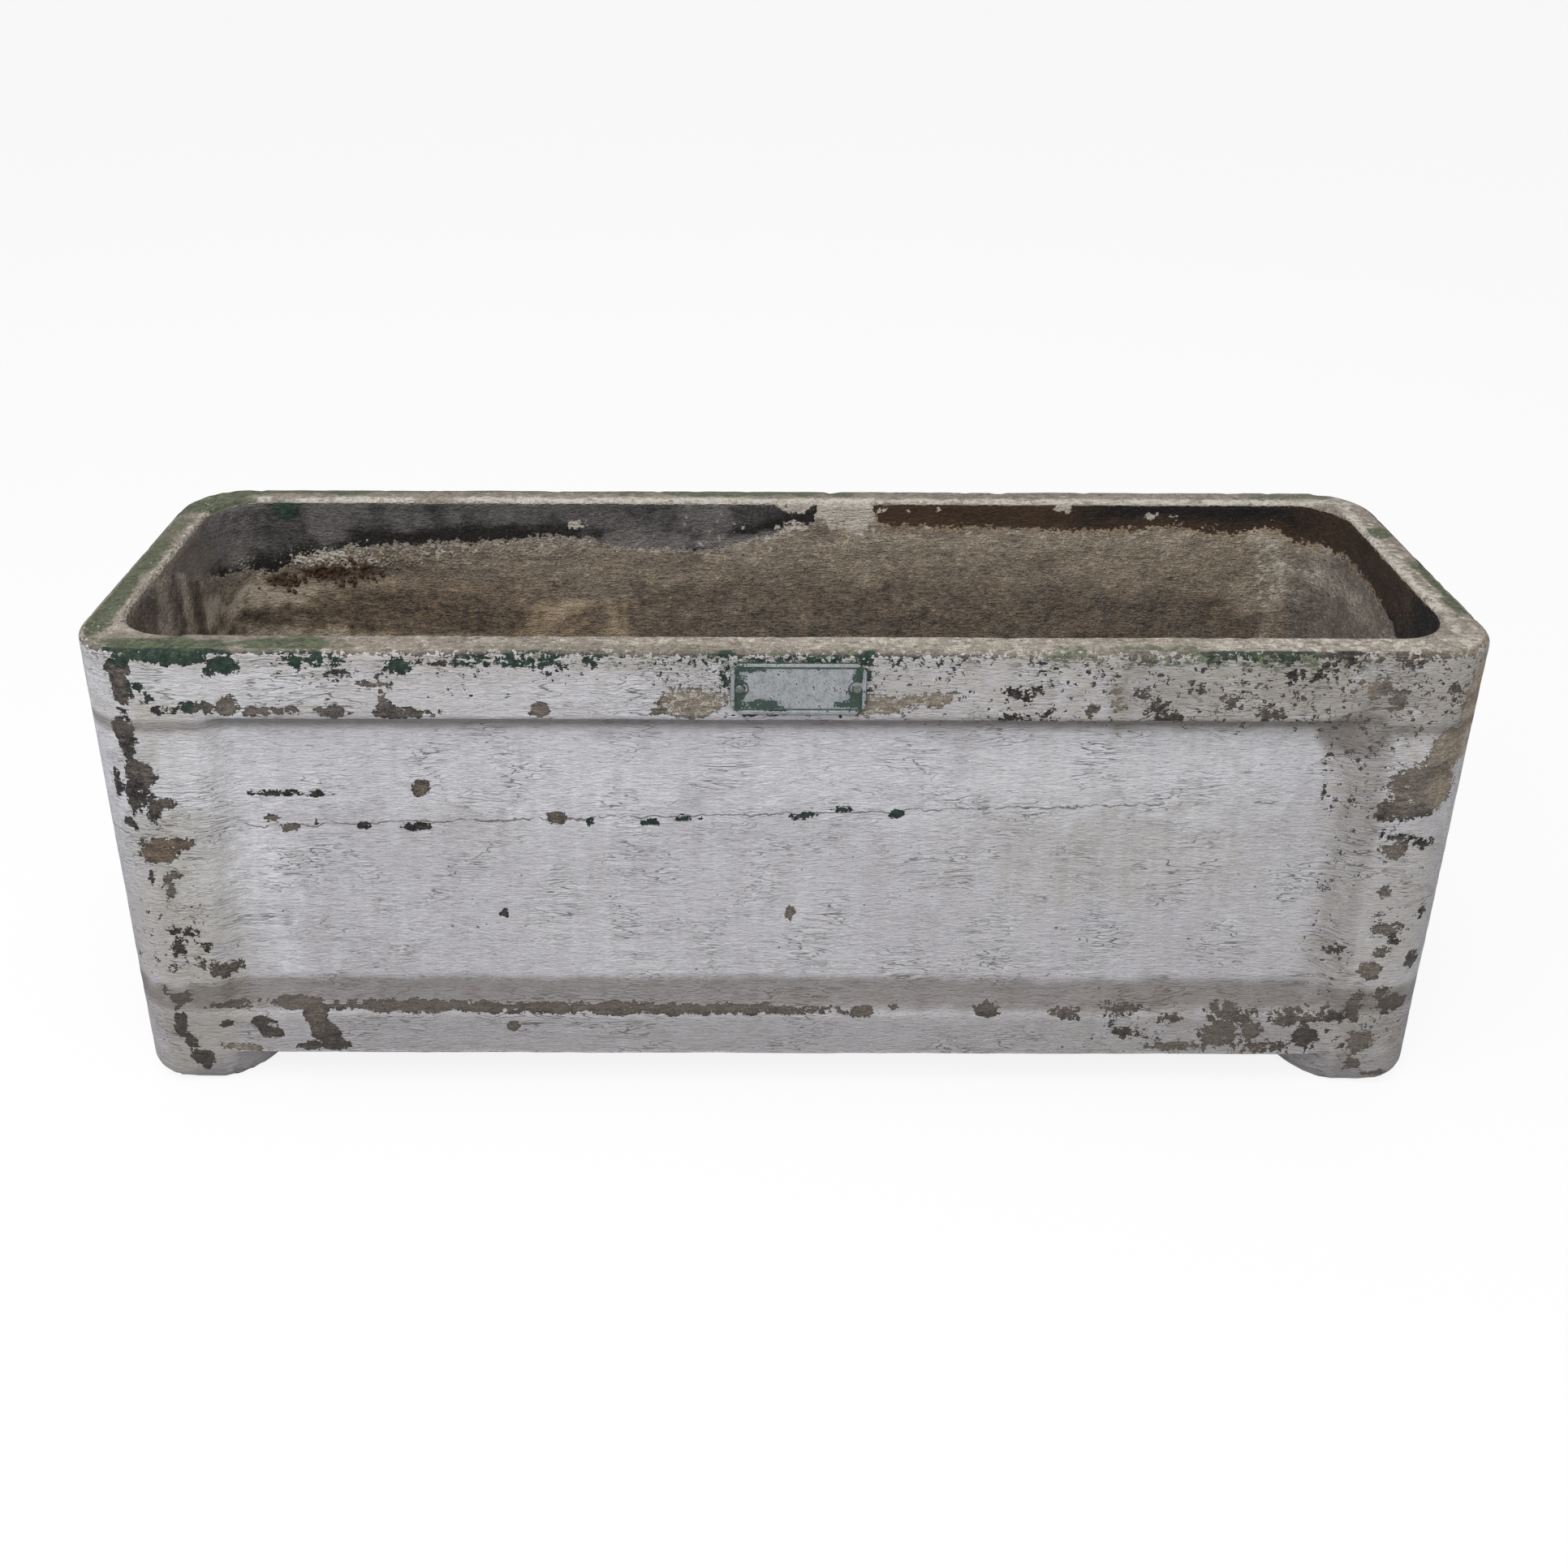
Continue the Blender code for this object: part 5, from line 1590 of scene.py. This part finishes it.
@dataclass
class LooseGrains:
    """Grains that cling to the hollow's walls, scattered with Geometry Nodes where a layer calls for them."""

    name: str
    layer: Layer
    per_square_metre: float
    smallest: float
    largest: float
    finish: MottledFinish
    seed: int
    top: float = 0.3798
    half_length: float = 0.4992
    half_width: float = 0.1492

    def build(self, trough: bpy.types.Object) -> bpy.types.Object:
        """Scatter the grains on the trough.

        Args:
            trough: The casting, with its layers.

        Returns:
            The grains as one object.
        """
        pattern = in_scene("grain_pattern", self.lump())
        recipe = NodeRecipe(self.name, {
            "Density": ("Float", self.per_square_metre), "Seed": ("Int", self.seed),
            "Smallest": ("Float", self.smallest), "Largest": ("Float", self.largest),
            "Grain": ("Object", pattern), "Finish": ("Material", self.finish.make())})
        tree, given = recipe.tree, recipe.given
        share = add(tree, "GeometryNodeInputNamedAttribute", self.layer.value, out="Attribute",
                    data_type="FLOAT")
        dense = add(tree, "Math", share, given["Density"], operation="MULTIPLY")
        points = add(tree, "GeometryNodeDistributePointsOnFaces", given["Base"], None, dense, given["Seed"])
        turned = add(tree, "FunctionNodeRandomValue", (0.0, 0.0, 0.0), (math.tau,) * 3, None, given["Seed"],
                     data_type="FLOAT_VECTOR")
        size = add(tree, "FunctionNodeRandomValue", given["Smallest"], given["Largest"], None, given["Seed"],
                   data_type="FLOAT")
        grain = add(tree, "GeometryNodeObjectInfo", given["Grain"], out="Geometry")
        placed = add(tree, "GeometryNodeInstanceOnPoints", points, None, grain,
                     named={"Rotation": turned, "Scale": size})
        made = recipe.run(placed, trough.data.copy())
        bpy.data.objects.remove(pattern)
        for vertex in made.data.vertices:
            vertex.co.x = max(-self.half_length, min(self.half_length, vertex.co.x))
            vertex.co.y = max(-self.half_width, min(self.half_width, vertex.co.y))
            vertex.co.z = min(self.top, vertex.co.z)
        return made

    def lump(self) -> bpy.types.Mesh:
        """An uneven grain of twenty faces, one across."""
        work = bmesh.new()
        bmesh.ops.create_icosphere(work, subdivisions=1, radius=0.5)
        for vertex in work.verts:
            vertex.co *= 1.0 + 0.35 * noise.noise(vertex.co * 2.3 + Vector((self.seed, 0.0, 0.0)))
            vertex.co.z *= 0.75
        return as_mesh("grain_pattern", work, 60)


@dataclass
class Studio:
    """A plain white floor, soft light and the camera at the photograph's angle."""

    camera_at: tuple[float, float, float] = (-0.03278, -1.10735, 0.88288)
    look_down: float = 20.5385
    turned: float = -0.1550
    rolled: float = 0.2414
    lens_share: float = 1933.5 / 1932
    sensor: float = 36.0
    centre_share: tuple[float, float] = (915 / 1932, 560 / 1932)
    far_clip: float = 60.0
    floor_reach: float = 14.0
    paper: str = "#A6A6A6"
    dull_paper: str = "#6A6A6A"
    paper_glow: float = 0.86

    def camera(self) -> None:
        """Set the camera, with a shift that puts the optical axis where the photograph has it."""
        data = bpy.data.cameras.new("camera")
        data.sensor_width = self.sensor
        data.lens = self.sensor * self.lens_share
        data.shift_x = 0.5 - self.centre_share[0]
        data.shift_y = self.centre_share[1] - 0.5
        data.clip_end = self.far_clip
        made = in_scene("camera", data)
        made.location = self.camera_at
        facing = Euler((math.radians(90 - self.look_down), 0.0, math.radians(self.turned))).to_matrix()
        made.rotation_euler = (facing @ Matrix.Rotation(math.radians(self.rolled), 3, "Z")).to_euler()
        bpy.context.scene.camera = made

    def lamp(self, name: str, at: tuple[float, float, float], size: float, power: float, colour: str) -> None:
        """Hang a square soft lamp that faces the planter.

        Args:
            name: Name of the lamp.
            at: Its place.
            size: Length of its sides.
            power: Its power in watts.
            colour: Its colour as sRGB hex.
        """
        data = bpy.data.lights.new(name, "AREA")
        data.shape = "SQUARE"
        data.size = size
        data.energy = power
        data.color = linear(colour)[:3]
        made = in_scene(name, data)
        made.location = at
        made.rotation_euler = (Vector((0.0, 0.0, 0.2)) - Vector(at)).to_track_quat("-Z", "Y").to_euler()

    def split(self, tree: bpy.types.NodeTree, hidden: Any, seen: Any) -> Any:
        """Show one shader to the rays of the camera, of gloss and through glass, and another to the rest.

        Args:
            tree: The tree of the floor or the world.
            hidden: What lights the planter.
            seen: What is seen.

        Returns:
            The socket of the shader.
        """
        rays = add(tree, "LightPath").node.outputs
        share = greatest(tree, *(rays[f"Is {kind} Ray"] for kind in ("Camera", "Glossy", "Transmission")))
        return add(tree, "MixShader", share, hidden, seen)

    def lights(self) -> None:
        """Hang the lamps and set the world's even light."""
        self.lamp("sky_lamp", (-0.5, -1.6, 2.6), 2.4, 59.0, "#FFFDFA")
        self.lamp("left_lamp", (-2.6, -0.6, 1.2), 1.6, 6.0, "#DCE2FF")
        world = bpy.data.worlds.new("studio")
        tree = blank(world)
        even, white = add(tree, "Background", "#F4F5FA", 0.56), add(tree, "Background", "#FFFFFF", 1.0)
        add(tree, "OutputWorld", self.split(tree, even, white))
        bpy.context.scene.world = world

    def floor(self) -> None:
        """Lay a white floor that keeps a faint shadow."""
        mesh = bpy.data.meshes.new("studio_floor")
        corners = ((-1, -1), (1, -1), (1, 1), (-1, 1))
        points = [(x * self.floor_reach, y * self.floor_reach, 0.0) for x, y in corners]
        mesh.from_pydata(points, [], [(0, 1, 2, 3)])
        surface = bpy.data.materials.new("white_paper_floor")
        tree = blank(surface)
        paper, dull = (add(tree, "BsdfDiffuse", colour) for colour in (self.paper, self.dull_paper))
        glow = add(tree, "Emission", "#FFFFFF", self.paper_glow)
        add(tree, "OutputMaterial", self.split(tree, paper, add(tree, "AddShader", dull, glow)))
        mesh.materials.append(surface)
        in_scene("studio_floor", mesh)

    def build(self) -> None:
        """Set up the camera, the lights and the floor."""
        self.camera()
        self.lights()
        self.floor()
        bpy.context.scene.view_settings.view_transform = "Standard"


def hand_over(piece: bpy.types.Object, slot: str, *nodes: str) -> None:
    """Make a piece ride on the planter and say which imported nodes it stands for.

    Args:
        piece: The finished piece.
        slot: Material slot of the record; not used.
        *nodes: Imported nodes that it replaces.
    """
    if nodes:
        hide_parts(*nodes)
    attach(piece, "root")
    replaced = ", ".join(nodes) or "nothing"
    LOG.info("%s: %d faces, stands for %s", piece.name, len(piece.data.polygons), replaced)


def dress_rods(nodes: dict[str, Any]) -> None:
    """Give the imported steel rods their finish.

    Args:
        nodes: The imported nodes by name.
    """
    # Hot-rolled bar: brown rust with darker mill scale, dull all over
    finish = MottledFinish("rusted_hot_rolled_bar", "#3A2018", "#8A5330", 6.0, 0.9, 0.85, 0.3, 0.25).make()
    for name, item in nodes.items():
        if "rod" in name or "stirrup" in name:
            for number in range(len(item.material_slots)):
                item.material_slots[number].material = finish
            LOG.info("%s: %d faces, kept with a new finish", name, len(item.data.polygons))


def main() -> None:
    """Build the planter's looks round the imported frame."""
    logging.basicConfig(level=logging.INFO, format="%(name)s: %(message)s")
    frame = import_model()
    Studio().build()
    dress_rods(frame["nodes"])
    trough = TroughCasting().build()
    trough.data.materials.append(WeatheredPaint().make())
    # Lime that has leached out of the wall and set in pale grains, and dried crumbs of potting soil
    lime = MottledFinish("leached_lime_crust", "#6E655A", "#B9B1A2", 3.0, 0.8)
    soil = MottledFinish("dried_potting_soil", "#2C1C14", "#5C4230", 3.0, 0.8)
    grains = (
        LooseGrains("lime_crust_grains", Layer.CRUST, 50000.0, 0.0008, 0.0030, lime, GRAIN_SEED),
        LooseGrains("soil_crumbs", Layer.SOIL, 70000.0, 0.0020, 0.0060, soil, GRAIN_SEED + 1),
    )
    for kind in grains:
        hand_over(kind.build(trough), "painted_concrete")
    hand_over(trough, "painted_concrete", "trough_body")
    plate = Nameplate()
    hand_over(plate.build(), "painted_plate", "nameplate")
    hand_over(plate.pins(), "pin_metal", "plate_pin_left", "plate_pin_right")


if __name__ == "__main__":
    main()
